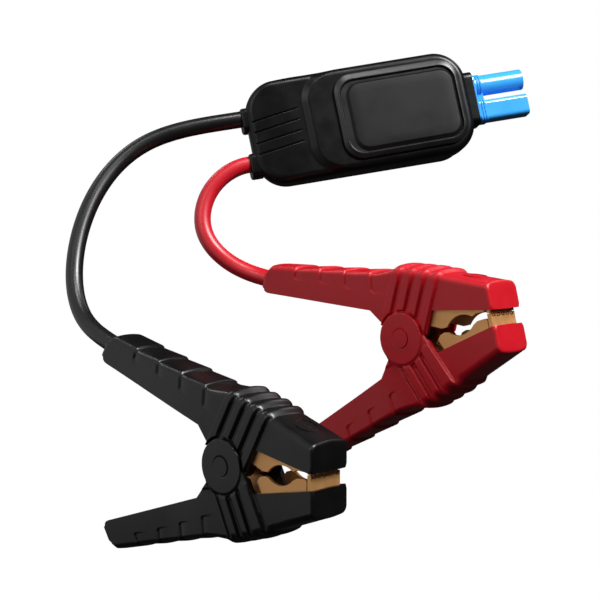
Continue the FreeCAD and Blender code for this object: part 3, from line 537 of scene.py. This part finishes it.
def cover_grid(edges, lower):
    """Outer and inner skins of a cover: arrays of sections."""
    outer, inner = [], []
    for low, high in zip(*stations(edges, STATION_STEP)):
        half = mix(HANDLE_HALF, BODY_HALF, float(smooth(*HANDLE_SPAN, low[0])))
        half = mix(half, NOSE_HALF, float(smooth(*NOSE_SPAN, low[0])))
        radius = mix(*CORNER_RADII, float(smooth(*CORNER_SPAN, high[0])))
        points, normals = section(low, high, half, radius, lower)
        facing = 1.0 - normals[:, 1] ** 2
        height = relief_height(points[:, 0], points[:, 2], facing, lower)
        height = height + CROWN * facing * (1.0 - (points[:, 1] / half) ** 2)
        outer.append(points + normals * height[:, None])
        inner_high = high - unit(high - low) * WALL
        inner_half = half - WALL
        skin, _ = section(low, inner_high, inner_half, max(radius - WALL, LEAST_RADIUS), lower)
        if lower:
            near_ear = 1.0 - smooth(*EAR_CLEAR, np.hypot(skin[:, 0], skin[:, 2]))
            on_side = np.abs(skin[:, 1]) > inner_half - SIDE_MARGIN
            skin[:, 1] -= (EAR_INNER - inner_half) * near_ear * on_side
        inner.append(skin)
    return np.array(outer), np.array(inner)


def end_ring(lower):
    """U-shaped opening round the cable, in the plane of the handle's end."""
    low, high = np.array(HANDLE_END)
    up = high - low
    height = np.linalg.norm(up)
    up = up / height
    middle = END_HOLE_SHARE * height
    v, a, f = PATTERN[lower].T
    angle = (a / (math.pi / 2) * 0.5 + f * 0.5) * math.pi / 2
    along = v * middle * (a == 0) + (a > 0) * middle + END_HOLE_RADIUS * np.sin(angle)
    across = END_HOLE_RADIUS * np.cos(angle)
    return np.stack([low[0] + up[0] * along, -across, low[1] + up[1] * along], axis=1)


def nose_wall(last, last_in):
    """The sections that round over and close the nose."""
    half = np.abs(last[:, 1]).max()
    top = last[:, 2].max()
    front = []
    for a in (math.pi / 2 * k / ROUND_STEPS for k in range(1, ROUND_STEPS + 1)):
        inset = NOSE_ROUND * (1.0 - math.cos(a))
        ring = last.copy()
        ring[:, 1] *= (half - inset) / half
        ring[:, 2] = NOSE_LOW + (ring[:, 2] - NOSE_LOW) * (top - inset - NOSE_LOW) / (top - NOSE_LOW)
        foot = np.clip(1.0 - (ring[:, 2] - NOSE_LOW) / NOSE_FOOT, 0.0, 1.0)
        ring[:, 1] *= 1.0 - NOSE_FOOT_PINCH * foot ** 2 * math.sin(a)
        ring[:, 0] = last[:, 0] + NOSE_ROUND * math.sin(a)
        front.append(ring)
    flat = front[-1]
    centre = np.array([NOSE_X, 0.0, NOSE_LOW])
    middle = np.array([last_in[0, 0], 0.0, NOSE_LOW])
    front += [centre + (flat - centre) * f for f in NOSE_FILL]
    front_in = [last_in] * ROUND_STEPS + [middle + (last_in - middle) * f for f in NOSE_FILL]
    return front, front_in


def handle_wall(first, first_in, lower):
    """The sections that round over the handle's end and run in to the cable's opening."""
    low, high = HANDLE_END
    way_x, way_z = unit([-(high[1] - low[1]), high[0] - low[0]])
    outward = np.array([way_x, 0.0, way_z])
    hole = end_ring(lower)
    middle = hole.mean(axis=0)
    back = []
    for a in (math.pi / 2 * k / ROUND_STEPS for k in range(1, ROUND_STEPS + 1)):
        inset = END_ROUND * (1.0 - math.cos(a))
        ring = middle + (first - middle) * (1.0 - inset / END_HALF)
        back.append(ring + outward * END_ROUND * math.sin(a))
    rim = back[-1]
    back += [mix(rim, hole + outward * END_ROUND, f) for f in END_FILL]
    hole_in = hole - outward * END_HOLE_SINK
    back_in = [first_in] * ROUND_STEPS + [mix(first_in, hole_in, f) for f in END_FILL]
    return back, back_in


def close_ends(outer, inner, lower):
    """Adds the nose's front wall and the handle's end wall to both skins."""
    front, front_in = nose_wall(outer[-1], inner[-1])
    back, back_in = handle_wall(outer[0], inner[0], lower)
    outer = np.concatenate([np.array(back[::-1]), outer, np.array(front)])
    inner = np.concatenate([np.array(back_in[::-1]), inner, np.array(front_in)])
    return outer, inner


def both_halves(skin):
    """A near half-section mirrored to make the whole section."""
    far = skin[:, ::-1][:, 1:].copy()
    far[:, :, 1] *= -1.0
    return np.concatenate([skin, far], axis=1)


def build_cover(colour, lower):
    """A clamp's upper or lower moulded cover, as one closed shell."""
    edges = ear_edges() if lower else UPPER_EDGES
    outer, inner = close_ends(*cover_grid(edges, lower), lower)
    outer, inner = both_halves(outer), both_halves(inner)
    rows, cols = outer.shape[:2]
    points = np.concatenate([outer.reshape(-1, 3), inner.reshape(-1, 3)])
    if lower:
        points[:, 2] *= -1.0
    half = rows * cols
    faces = grid_faces(rows, cols)
    faces += [f[::-1] for f in grid_faces(rows, cols, first=half)]
    for i in range(rows - 1):
        for j in (0, cols - 1):
            a, b = i * cols + j, (i + 1) * cols + j
            faces.append((a, b, b + half, a + half) if j else (b, a, a + half, b + half))
    for j in range(cols - 1):
        faces.append((j, j + 1, j + 1 + half, j + half))
    part = "lower" if lower else "upper"
    name = colour + "_" + part + "_cover"
    obj = make_object(name + "_moulding", clamp_place(colour, points), faces, COVER_SHARP)
    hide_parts(name)
    finish_piece(obj, colour + "_clamp_plastic", colour + "_clamp_" + part)


# The plain plus or minus on each clamp's nose: a raised ring as radii and heights, bars as half lengths
# along x and y, and each level of a bar as its inset and height.
MARK_X = 34.0
MARK_SINK = 0.08
MARK_SEGMENTS = 64
MARK_RING = [(4.2, 0.0), (4.25, 0.28), (4.45, 0.36), (4.65, 0.28), (4.7, 0.0), (4.45, -0.3)]
MARK_BARS = {"black": [(2.3, 0.42)], "red": [(2.3, 0.42), (0.42, 2.3)]}
MARK_BAR_LEVELS = ((0.0, -0.3), (0.0, 0.22), (0.12, 0.34))


def build_mark(colour):
    """Raised ring on the nose with a minus or a plus in it."""
    points = []
    for k in range(MARK_SEGMENTS):
        a = 2.0 * math.pi * k / MARK_SEGMENTS
        points += [(r * math.cos(a), r * math.sin(a), h) for r, h in MARK_RING]
    faces = grid_faces(MARK_SEGMENTS, len(MARK_RING), wrap_rows=True, wrap_cols=True)
    corners = ((-1, -1), (1, -1), (1, 1), (-1, 1))
    for bx, by in MARK_BARS[colour]:
        first = len(points)
        for inset, h in MARK_BAR_LEVELS:
            points += [(sx * (bx - inset), sy * (by - inset), h) for sx, sy in corners]
        faces += grid_faces(len(MARK_BAR_LEVELS), len(corners), first=first, wrap_cols=True)
        faces.append((first, first + 3, first + 2, first + 1))
        faces.append(tuple(range(len(points) - len(corners), len(points))))
    (back_x, back_z), (front_x, front_z) = NOSE_BACK[1], NOSE_FRONT[1]
    slope = math.atan2(back_z - front_z, front_x - back_x)
    c, s = math.cos(slope), math.sin(slope)
    level = back_z - (MARK_X - back_x) * math.tan(slope) + CROWN - MARK_SINK
    x, y, h = np.array(points).T
    placed = np.array([MARK_X, 0.0, level]) + np.stack([x * c + h * s, y, -x * s + h * c], axis=1)
    obj = make_object(colour + "_polarity_mark", clamp_place(colour, placed), faces, COVER_SHARP)
    finish_piece(obj, colour + "_clamp_plastic", colour + "_clamp_upper")


# ---------------------------------------------------------------- torsion springs
SPRING_RADIUS = 5.0
SPRING_WIRE = 0.75
SPRING_SIDES = 14
SPRING_HALF = 3.0
SPRING_TURNS = 4.0
SPRING_POINTS = 220
SPRING_UP = (0.01, 1.01, 0.01)
LEG_ANGLE = math.radians(31.0)
LEG_LENGTH = 30.0
LEG_POINTS = 30
LEG_GAP = 0.1


def build_spring(colour):
    """Coil with its upper leg on one arm, and its lower leg on the other."""
    lean = math.pi / 2 - LEG_ANGLE
    turns = np.linspace(0.0, 1.0, SPRING_POINTS)
    angle = lean + 2.0 * math.pi * SPRING_TURNS * turns
    coil = np.stack([SPRING_RADIUS * np.cos(angle), SPRING_HALF * (1.0 - 2.0 * turns),
                     SPRING_RADIUS * np.sin(angle)], axis=1)
    away = np.array([-math.cos(LEG_ANGLE), 0.0, math.sin(LEG_ANGLE)])
    leg = np.array([coil[0] + away * LEG_LENGTH * f for f in np.linspace(1.0, 0.02, LEG_POINTS)])
    points, faces = tube_mesh(np.concatenate([leg, coil]), SPRING_WIRE, SPRING_SIDES, SPRING_UP)
    upper = make_object(colour + "_spring_coil", clamp_place(colour, points), faces)
    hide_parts(colour + "_torsion_spring")
    finish_piece(upper, "dark_steel", colour + "_clamp_upper")
    foot_y = -SPRING_HALF - LEG_GAP
    foot = np.array([SPRING_RADIUS * math.cos(lean), foot_y, -SPRING_RADIUS * math.sin(lean)])
    away = np.array([-math.cos(LEG_ANGLE), 0.0, -math.sin(LEG_ANGLE)])
    leg = np.array([foot + away * LEG_LENGTH * f for f in np.linspace(0.0, 1.0, LEG_POINTS)])
    points, faces = tube_mesh(leg, SPRING_WIRE, SPRING_SIDES, SPRING_UP)
    lower = make_object(colour + "_spring_leg", clamp_place(colour, points), faces)
    finish_piece(lower, "dark_steel", colour + "_clamp_lower")


# ---------------------------------------------------------------- cables
# Each cable leaves the box at CABLE_EXIT, a height along the box's z.  It passes through the CABLE_VIA
# points of the CAD frame, and goes into its clamp's handle at CABLE_ENTRY.  It starts inside the box by its
# lead, and ends inside the handle by its tail.
CABLE_RADIUS = 3.75
CABLE_SIDES = 32
CABLE_UP = (0.01, 0.01, 1.01)
CABLE_SHARP = 60.0
CABLE_EXIT = {"black": 9.1, "red": -12.2}
CABLE_VIA = {"black": [(-53.0, -83.0, -8.5), (-58.5, -113.0, -39.5), (-36.5, -131.0, -85.5)],
             "red": [(-30.0, -65.0, -30.0), (-28.0, -71.0, -48.0), (-14.0, -64.0, -64.0)]}
CABLE_ENTRY = (-70.5, 0.0, 37.5)
ENTRY_ANGLE = math.radians(20.0)
CABLE_START_X = -54.8
CABLE_STEP = 1.0
CABLE_LEAD = 9.0
CABLE_TAIL = 9.0
CABLE_END_POINTS = 9
CABLE_NODES = ("jacket_box_end", "jacket_clamp_end", "core_box_end", "core_clamp_end")


def clamped_spline(knots, start_way, end_way):
    """Smooth curve through the knots with set directions at its ends."""
    p = np.array(knots, float)
    n = len(p)
    h = np.linalg.norm(np.diff(p, axis=0), axis=1)
    matrix = np.zeros((n, n))
    right = np.zeros((n, 3))
    matrix[0, 0] = matrix[-1, -1] = 1.0
    right[0], right[-1] = start_way, end_way
    for i in range(1, n - 1):
        matrix[i, i - 1:i + 2] = h[i], 2.0 * (h[i - 1] + h[i]), h[i - 1]
        right[i] = 3.0 * (h[i] * (p[i] - p[i - 1]) / h[i - 1] + h[i - 1] * (p[i + 1] - p[i]) / h[i])
    m = np.linalg.solve(matrix, right)
    points = []
    for i in range(n - 1):
        for t in np.linspace(0.0, 1.0, int(h[i] / CABLE_STEP), endpoint=False):
            points.append((2 * t**3 - 3 * t**2 + 1) * p[i] + (t**3 - 2 * t**2 + t) * h[i] * m[i]
                          + (-2 * t**3 + 3 * t**2) * p[i + 1] + (t**3 - t**2) * h[i] * m[i + 1])
    points.append(p[-1])
    return np.array(points)


def build_cable(colour):
    """One bare run of jacket from inside the box to inside the clamp's handle."""
    leave = -box_x
    x, _, z = clamp_axes(colour)
    arrive = math.cos(ENTRY_ANGLE) * x - math.sin(ENTRY_ANGLE) * z
    start = box_place([CABLE_START_X, 0.0, CABLE_EXIT[colour]]) / MM
    end = clamp_place(colour, CABLE_ENTRY) / MM
    curve = clamped_spline([start, *CABLE_VIA[colour], end], leave, arrive)
    lead = np.array([start - leave * d for d in np.linspace(CABLE_LEAD, CABLE_STEP, CABLE_END_POINTS)])
    tail = np.array([end + arrive * d for d in np.linspace(CABLE_STEP, CABLE_TAIL, CABLE_END_POINTS)])
    path = np.concatenate([lead, curve, tail]) * MM
    points, faces = tube_mesh(path, CABLE_RADIUS * MM, CABLE_SIDES, CABLE_UP)
    obj = make_object(colour + "_cable", points, faces, CABLE_SHARP)
    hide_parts(*[colour + "_cable_" + node for node in CABLE_NODES])
    finish_piece(obj, colour + "_cable_rubber")
    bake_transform(obj)


# ---------------------------------------------------------------- control box
BOX_X0 = -52.5
BOX_X1 = 51.4
HALF_WIDTH = 24.1
CORNER = 14.5
FRONT_Y = -7.6
EDGE_ROUND = 3.4
TURN = math.radians(0.5)

# The front shell's rim meets the back shell at SEAM_Y, in the back shell's outline.  Each step down to it
# has its y, its share of the way to that outline, and how far in it is.
BACK_X = 50.1
BACK_Z = 23.6
SEAM_Y = 4.0
RIM_STEPS = ((0.5, 0.15, 0.0), (SEAM_Y - 0.3, 1.0, 0.0), (SEAM_Y, 1.0, 0.3), (SEAM_Y, 1.0, 1.8))
SHELL_WALL = 3.4
SHELL_SEAM_GAP = 0.2
SHELL_INSET = 2.0
SHELL_SHRINK_X = 0.96
SHELL_SHARP = 45.0

# Towards the cables the face falls back, and the upper edge draws in.
TAPER_X = -26.0
TAPER_DEPTH = 2.2
TAPER_POWER = 2.2
NARROW = 1.3
NARROW_X = -22.0
NARROW_LENGTH = 28.0
NARROW_POWER = 1.5

# The raised saddle that the lid sits on; it widens by SADDLE_OPEN to the right of its step.
SADDLE = dict(x0=-26.6, x1=64.0, half=23.8, corner=13.5)
SADDLE_RISE = 1.4
SADDLE_FLANK = 3.4
SADDLE_SOFTNESS = 0.35
SADDLE_OPEN = 0.14
SADDLE_OPEN_SPAN = (-18.0, -6.0)

# Four grooves between the cables and the saddle: their heights at the right, and their fall to the left.
GROOVE_RIGHT_X = -28.3
GROOVE_LEFT_X = -50.4
GROOVE_HEIGHTS = (8.9, 3.8, -1.4, -6.5)
GROOVE_FALL = 2.9
GROOVE_DEPTH = 0.45
GROOVE_DEEPENING = 0.25
GROOVE_HALF = 0.24
GROOVE_START = (0.0, 0.05)
GROOVE_END = (0.97, 1.0)

# The grid over the front face, fine where the grooves are.
ARC_POINTS = 34
LENGTH_POINTS = 190
EDGE_ROW = 0.999
FINE_ROWS = np.arange(-13.0, 13.01, 0.2)
COARSE_ROWS = np.concatenate([np.arange(13.4, 19.0, 0.5), np.arange(19.0, 24.1, 0.3)])

# The lid: a ring with a moat in it, and the panel.  Each profile is an outline, an inset and a level, which
# is in front of the saddle's top where it is negative.
LID_Y = FRONT_Y - SADDLE_RISE
RING_OUTER = dict(x0=-11.4, x1=47.3, z0=-19.9, z1=19.9, corner=8.8)
RING_CREST = dict(x0=-9.2, x1=45.4, z0=-17.6, z1=17.0, corner=7.2)
MOAT_OUTER = dict(x0=-8.5, x1=45.05, z0=-17.15, z1=16.3, corner=6.8)
MOAT_INNER = dict(x0=-6.1, x1=44.85, z0=-17.0, z1=15.4, corner=6.5)
PANEL_FOOT = dict(x0=-6.0, x1=44.75, z0=-16.9, z1=15.3, corner=6.4)
PANEL_TOP = dict(x0=-4.95, x1=43.8, z0=-15.4, z1=14.5, corner=5.6)
RING_RISE = 1.9
MOAT_RISE = 0.9
PANEL_RISE = 2.0
RING_PROFILE = [
    (RING_OUTER, 0.0, 0.6), (RING_OUTER, 0.0, 0.95 - RING_RISE), (RING_OUTER, 0.1, 0.82 - RING_RISE),
    (RING_OUTER, 0.3, 0.7 - RING_RISE), (RING_CREST, -0.5, 0.12 - RING_RISE),
    (RING_CREST, -0.2, 0.02 - RING_RISE), (RING_CREST, 0.0, 0.06 - RING_RISE),
    (MOAT_OUTER, 0.0, -MOAT_RISE), (MOAT_INNER, 0.0, -MOAT_RISE), (MOAT_INNER, 0.0, 0.6)]
PANEL_PROFILE = [
    (PANEL_FOOT, 0.0, 0.5), (PANEL_FOOT, 0.0, -0.1 - MOAT_RISE), (PANEL_TOP, 0.0, 0.12 - PANEL_RISE),
    (PANEL_TOP, 0.12, 0.03 - PANEL_RISE), (PANEL_TOP, 0.35, -PANEL_RISE),
    (PANEL_TOP, 4.5, -PANEL_RISE - 0.06)]
LID_SHARP = 35.0
RECT_ARC_POINTS = 14
LEAST_CORNER = 0.3


def box_turn(points):
    """Turns points of the front by TURN, in the plane of its face."""
    p = np.array(points, float)
    x, z = p[..., 0].copy(), p[..., 2].copy()
    p[..., 0] = x * math.cos(TURN) - z * math.sin(TURN)
    p[..., 2] = x * math.sin(TURN) + z * math.cos(TURN)
    return p


def inside_rect(x, z, x0, x1, half, corner):
    """How far points are inside a rectangle with round corners; negative outside."""
    cx, hx = (x0 + x1) / 2, (x1 - x0) / 2
    dx = np.abs(x - cx) - (hx - corner)
    dz = np.abs(z) - (half - corner)
    outside = np.hypot(np.maximum(dx, 0.0), np.maximum(dz, 0.0))
    return corner - outside - np.minimum(np.maximum(dx, dz), 0.0)


def front_level(x, z):
    """The front face's y: flat, falling to the cable end, with the raised saddle and four grooves."""
    fall = np.clip((TAPER_X - x) / (TAPER_X - BOX_X0), 0.0, 1.0)
    y = FRONT_Y + TAPER_DEPTH * fall ** TAPER_POWER
    opening = 1.0 - SADDLE_OPEN * smooth(*SADDLE_OPEN_SPAN, x)
    step = np.clip(inside_rect(x, z * opening, **SADDLE) / SADDLE_FLANK, 0.0, 1.0)
    y = y - SADDLE_RISE * mix(step, smooth(0.0, 1.0, step), SADDLE_SOFTNESS)
    share = (x - GROOVE_RIGHT_X) / (GROOVE_LEFT_X - GROOVE_RIGHT_X)
    depth = GROOVE_DEPTH + GROOVE_DEEPENING * np.clip(share, 0.0, 1.0)
    ends = smooth(*GROOVE_START, share) * (1.0 - smooth(*GROOVE_END, share))
    for z_right in GROOVE_HEIGHTS:
        z_line = z_right - GROOVE_FALL * share
        y = y + depth * ends * np.exp(-((z - z_line) / GROOVE_HALF) ** 2)
    return y


def column_half(x):
    """Half the width of the box's outline at x."""
    over = np.maximum(np.maximum(BOX_X0 + CORNER - x, x - BOX_X1 + CORNER), 0.0)
    return HALF_WIDTH - CORNER + np.sqrt(np.maximum(CORNER**2 - over**2, 0.0))


def front_grid():
    """The front face in the box's axes, as grids of x, y and z."""
    arc = [CORNER * math.sin(a) for a in np.linspace(0.0, math.pi / 2, ARC_POINTS)]
    left = [BOX_X0 + CORNER - v for v in arc[::-1]]
    right = [BOX_X1 - CORNER + v for v in arc]
    xs = np.array(left + list(np.linspace(left[-1], right[0], LENGTH_POINTS)[1:-1]) + right)
    ts = np.concatenate([-COARSE_ROWS[::-1], FINE_ROWS, COARSE_ROWS]) / HALF_WIDTH
    ts = np.concatenate([[-1.0], ts[np.abs(ts) < EDGE_ROW], [1.0]])
    x, t = np.meshgrid(xs, ts, indexing="ij")
    narrow = NARROW * np.clip((NARROW_X - x) / NARROW_LENGTH, 0.0, 1.0) ** NARROW_POWER
    z = t * (column_half(x) - narrow * (t > 0))
    edge = np.maximum(inside_rect(x, z, BOX_X0, BOX_X1, HALF_WIDTH, CORNER), 0.0)
    short = np.maximum(EDGE_ROUND - edge, 0.0)
    y = front_level(x, z) + EDGE_ROUND - np.sqrt(np.maximum(EDGE_ROUND**2 - short**2, 0.0))
    return x, y, z


def build_front_shell():
    """The moulded front: its face, its walls down to the seam, and the same again inside."""
    x, y, z = front_grid()
    outer = box_turn(np.stack([x, y, z], axis=2))
    shrink = 1.0 - SHELL_INSET / HALF_WIDTH
    inner_y = np.minimum(y + SHELL_WALL, SEAM_Y - SHELL_SEAM_GAP)
    inner = box_turn(np.stack([x * SHELL_SHRINK_X, inner_y, z * shrink], axis=2))
    rows, cols = x.shape
    loop = [(i, 0) for i in range(rows)] + [(rows - 1, j) for j in range(1, cols)]
    loop += [(i, cols - 1) for i in range(rows - 2, -1, -1)] + [(0, j) for j in range(cols - 2, 0, -1)]
    points = list(outer.reshape(-1, 3)) + list(inner.reshape(-1, 3))
    faces = grid_faces(rows, cols) + [f[::-1] for f in grid_faces(rows, cols, first=rows * cols)]
    outer_loop = [i * cols + j for i, j in loop]
    chain = [outer_loop]
    middle = (BOX_X0 + BOX_X1) / 2
    for level, share, wall in RIM_STEPS:
        made = []
        for i, j in loop:
            px, pz = float(x[i, j]), float(z[i, j])
            wide = box_turn([px, 0.0, pz])
            near = np.array([(px - middle) * BACK_X / (BOX_X1 - middle), 0.0, pz * BACK_Z / HALF_WIDTH])
            spot = mix(wide, near, share)
            spot -= unit(spot) * wall
            made.append(len(points))
            points.append(np.array([spot[0], level, spot[2]]))
        chain.append(made)
    chain.append([rows * cols + k for k in outer_loop])
    for a, b in zip(chain[:-1], chain[1:]):
        for k in range(len(a)):
            m = (k + 1) % len(a)
            faces.append((a[k], a[m], b[m], b[k]))
    obj = make_object("box_front_moulding", box_place(points), faces, SHELL_SHARP)
    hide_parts("box_front_shell")
    finish_piece(obj, "box_plastic", "control_box")


def rect_loop(y, x0, x1, z0, z1, corner, inset=0.0):
    """Points round a rectangle with round corners."""
    r = max(corner - inset, LEAST_CORNER)
    points = []
    for sx, sz, a0 in ((1, 1, 0.0), (-1, 1, 90.0), (-1, -1, 180.0), (1, -1, 270.0)):
        cx = (x1 - inset - r) if sx > 0 else (x0 + inset + r)
        cz = (z1 - inset - r) if sz > 0 else (z0 + inset + r)
        for a in np.linspace(a0, a0 + 90.0, RECT_ARC_POINTS):
            points.append((cx + r * math.cos(math.radians(a)), y, cz + r * math.sin(math.radians(a))))
    return np.array(points)


def lid_rows(profile):
    return [rect_loop(LID_Y + level, inset=inset, **outline) for outline, inset, level in profile]


def build_lid():
    """The raised ring round the panel, and the panel."""
    rows = lid_rows(RING_PROFILE)
    faces = grid_faces(len(rows), len(rows[0]), wrap_rows=True, wrap_cols=True)
    obj = make_object("lid_ring_moulding", box_place(box_turn(np.concatenate(rows))), faces, LID_SHARP)
    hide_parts("lid_ring")
    finish_piece(obj, "ring_plastic", "control_box")
    rows = lid_rows(PANEL_PROFILE)
    count = len(rows[0])
    faces = grid_faces(len(rows), count, wrap_cols=True)
    faces.append(tuple(range(count)))
    faces.append(tuple((len(rows) - 1) * count + k for k in range(count))[::-1])
    obj = make_object("lid_panel_moulding", box_place(box_turn(np.concatenate(rows))), faces, LID_SHARP)
    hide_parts("lid_panel")
    finish_piece(obj, "panel_plastic", "control_box")


# The collar round each cable at the box: its outline across x, an inset and an x for each of its rounded
# steps, and the hole's radius.
RELIEF_DROP = 1.3
RELIEF_HALF = 5.6
RELIEF_DEPTH = 4.7
RELIEF_CORNER = 2.6
RELIEF_INNER_X = -49.0
RELIEF_OUTER_X = -54.4
RELIEF_STEPS = ((0.0, RELIEF_INNER_X), (0.0, -53.4), (0.3, -54.1), (0.9, RELIEF_OUTER_X))
RELIEF_HOLE = 3.8
RELIEF_SHARP = 40.0


def build_relief(colour):
    """Collar where a cable leaves the box: a rounded block with the cable's hole in it."""
    centre_z = CABLE_EXIT[colour] - RELIEF_DROP
    block = dict(x0=-RELIEF_DEPTH, x1=RELIEF_DEPTH, z0=-RELIEF_HALF, z1=RELIEF_HALF, corner=RELIEF_CORNER)
    rows = []
    for inset, x in RELIEF_STEPS:
        ring = rect_loop(0.0, inset=inset, **block)
        rows.append(np.stack([np.full(len(ring), x), ring[:, 0], ring[:, 2] + centre_z], axis=1))
    count = len(rows[0])
    angles = [math.atan2(p[2] - centre_z, p[1]) for p in rows[0]]
    hole = [(RELIEF_HOLE * math.cos(a), CABLE_EXIT[colour] + RELIEF_HOLE * math.sin(a)) for a in angles]
    rows += [np.array([(x, y, z) for y, z in hole]) for x in (RELIEF_OUTER_X, RELIEF_INNER_X)]
    faces = grid_faces(len(rows), count, wrap_rows=True, wrap_cols=True)
    obj = make_object(colour + "_relief_moulding", box_place(np.concatenate(rows)), faces, RELIEF_SHARP)
    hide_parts(colour + "_strain_relief")
    finish_piece(obj, "box_plastic", "control_box")


# ---------------------------------------------------------------- CAD parts that are kept
# Edge rounding for the nodes with these words in their names.
KEPT_BEVEL = {"plug_housing": 0.25, "plug_collar": 0.4, "jaw": 0.18, "pin_caps": 0.2, "box_back_shell": 0.3,
              "box_screws": 0.08, "pivot_pin": 0.2}
BEVEL_ANGLE = math.radians(38.0)
BEVEL_SEGMENTS = 3
WELD_GAP = 2e-6


def dress_kept_parts():
    """Materials and rounded edges for the CAD nodes that no piece stands for."""
    slots = {part["node"]: part["material_slot"] for part in frame["record"]["subparts"]}
    for name, obj in frame["nodes"].items():
        if obj.hide_render:
            continue
        finish_piece(obj, slots[name])
        weld = obj.modifiers.new("weld", "WELD")
        weld.merge_threshold = WELD_GAP
        for width in [w for word, w in KEPT_BEVEL.items() if word in name]:
            bevel = obj.modifiers.new("edges", "BEVEL")
            bevel.width = width * MM
            bevel.segments = BEVEL_SEGMENTS
            bevel.limit_method = "ANGLE"
            bevel.angle_limit = BEVEL_ANGLE


# ---------------------------------------------------------------- stage
# The world that the object reflects is bright on one side and dark on the other.  The camera sees white.
WORLD_SIDE = (-0.68, -0.73, 0.0)
WORLD_EDGE = 0.95
WORLD_DARK = 0.012
WORLD_BRIGHT = 0.58

# The floor is small, low and dull, so that little of it shows in the black plastic.  The camera sees white.
WHITE = (1.0, 1.0, 1.0, 1.0)
FLOOR_TONE = (0.015, 0.015, 0.015, 1.0)
FLOOR_GLOW = 0.008
FLOOR_REACH = 0.9
FLOOR_DROP = 0.26

# Square lights, each with its place in metres, its width and its power, all turned to LIGHT_TARGET.
LIGHT_TARGET = (0.03, -0.05, -0.07)
LIGHTS = {"key": ((0.95, 0.12, 0.98), 0.5, 29.0),
          "back": ((0.10, 1.00, 0.85), 0.35, 1.5),
          "over": ((0.36, -0.36, 1.12), 0.25, 4.4),
          "edge": ((-0.85, -0.10, 0.80), 0.25, 1.2),
          "front": ((0.18, -1.02, 0.62), 0.45, 1.8)}

CAMERA_SPOT = (0.4344, -0.4990, -0.0296)
CAMERA_WAY = (-0.6837, 0.7255, -0.0785)
CAMERA_LENS = 84.0
CAMERA_SENSOR = 36.0
CAMERA_CLIP = (0.01, 50.0)


def place_facing(name, data, spot, way):
    """A light or a camera at spot, facing along way."""
    obj = bpy.data.objects.new(name, data)
    bpy.context.scene.collection.objects.link(obj)
    obj.location = spot
    obj.rotation_mode = "QUATERNION"
    obj.rotation_quaternion = Vector(way).to_track_quat("-Z", "Y")
    return obj


def build_world():
    world = bpy.data.worlds.new("studio")
    bpy.context.scene.world = world
    world.use_nodes = True
    tree = world.node_tree
    back = tree.nodes["Background"]
    back.inputs["Color"].default_value = WHITE
    way = tree.nodes.new("ShaderNodeTexCoord")
    side = tree.nodes.new("ShaderNodeVectorMath")
    side.operation = "DOT_PRODUCT"
    side.inputs[1].default_value = WORLD_SIDE
    tree.links.new(way.outputs["Generated"], side.inputs[0])
    glow = tree.nodes.new("ShaderNodeMapRange")
    glow.interpolation_type = "SMOOTHSTEP"
    set_inputs(glow, {"From Min": 0.0, "From Max": WORLD_EDGE,
                      "To Min": WORLD_DARK, "To Max": WORLD_BRIGHT})
    tree.links.new(side.outputs["Value"], glow.inputs["Value"])
    path = tree.nodes.new("ShaderNodeLightPath")
    level = tree.nodes.new("ShaderNodeMix")
    unseen, seen = MIX_FLOATS
    tree.links.new(path.outputs["Is Camera Ray"], level.inputs[MIX_FACTOR])
    tree.links.new(glow.outputs["Result"], level.inputs[unseen])
    level.inputs[seen].default_value = 1.0
    tree.links.new(level.outputs[MIX_FLOAT_OUT], back.inputs["Strength"])


def build_floor():
    mat = bpy.data.materials.new("floor")
    mat.use_nodes = True
    tree = mat.node_tree
    shader = tree.nodes["Principled BSDF"]
    set_inputs(shader, {"Base Color": FLOOR_TONE, "Roughness": 0.9, "Specular IOR Level": 0.0,
                        "Emission Color": WHITE})
    path = tree.nodes.new("ShaderNodeLightPath")
    level = tree.nodes.new("ShaderNodeMapRange")
    set_inputs(level, {"To Min": FLOOR_GLOW, "To Max": 1.0})
    tree.links.new(path.outputs["Is Camera Ray"], level.inputs["Value"])
    tree.links.new(level.outputs["Result"], shader.inputs["Emission Strength"])
    z = cad_low.z - FLOOR_DROP
    corners = [(sx * FLOOR_REACH, sy * FLOOR_REACH, z) for sx, sy in ((-1, -1), (1, -1), (1, 1), (-1, 1))]
    floor = make_object("floor", corners, [(0, 1, 2, 3)], tidy=False)
    floor.data.materials.append(mat)


def build_stage():
    build_world()
    build_floor()
    for name, (spot, width, power) in LIGHTS.items():
        data = bpy.data.lights.new(name, "AREA")
        data.shape = "SQUARE"
        data.size = width
        data.energy = power
        place_facing(name, data, spot, Vector(LIGHT_TARGET) - Vector(spot))
    camera = bpy.data.cameras.new("camera")
    camera.lens = CAMERA_LENS
    camera.sensor_width = CAMERA_SENSOR
    camera.clip_start, camera.clip_end = CAMERA_CLIP
    scene = bpy.context.scene
    scene.camera = place_facing("camera", camera, CAMERA_SPOT, CAMERA_WAY)
    scene.view_settings.view_transform = "Standard"


# ---------------------------------------------------------------- build everything
for clamp_colour in COLOURS:
    build_cover(clamp_colour, lower=False)
    build_cover(clamp_colour, lower=True)
    build_mark(clamp_colour)
    build_spring(clamp_colour)
    build_cable(clamp_colour)
    build_relief(clamp_colour)
build_front_shell()
build_lid()
dress_kept_parts()
build_stage()
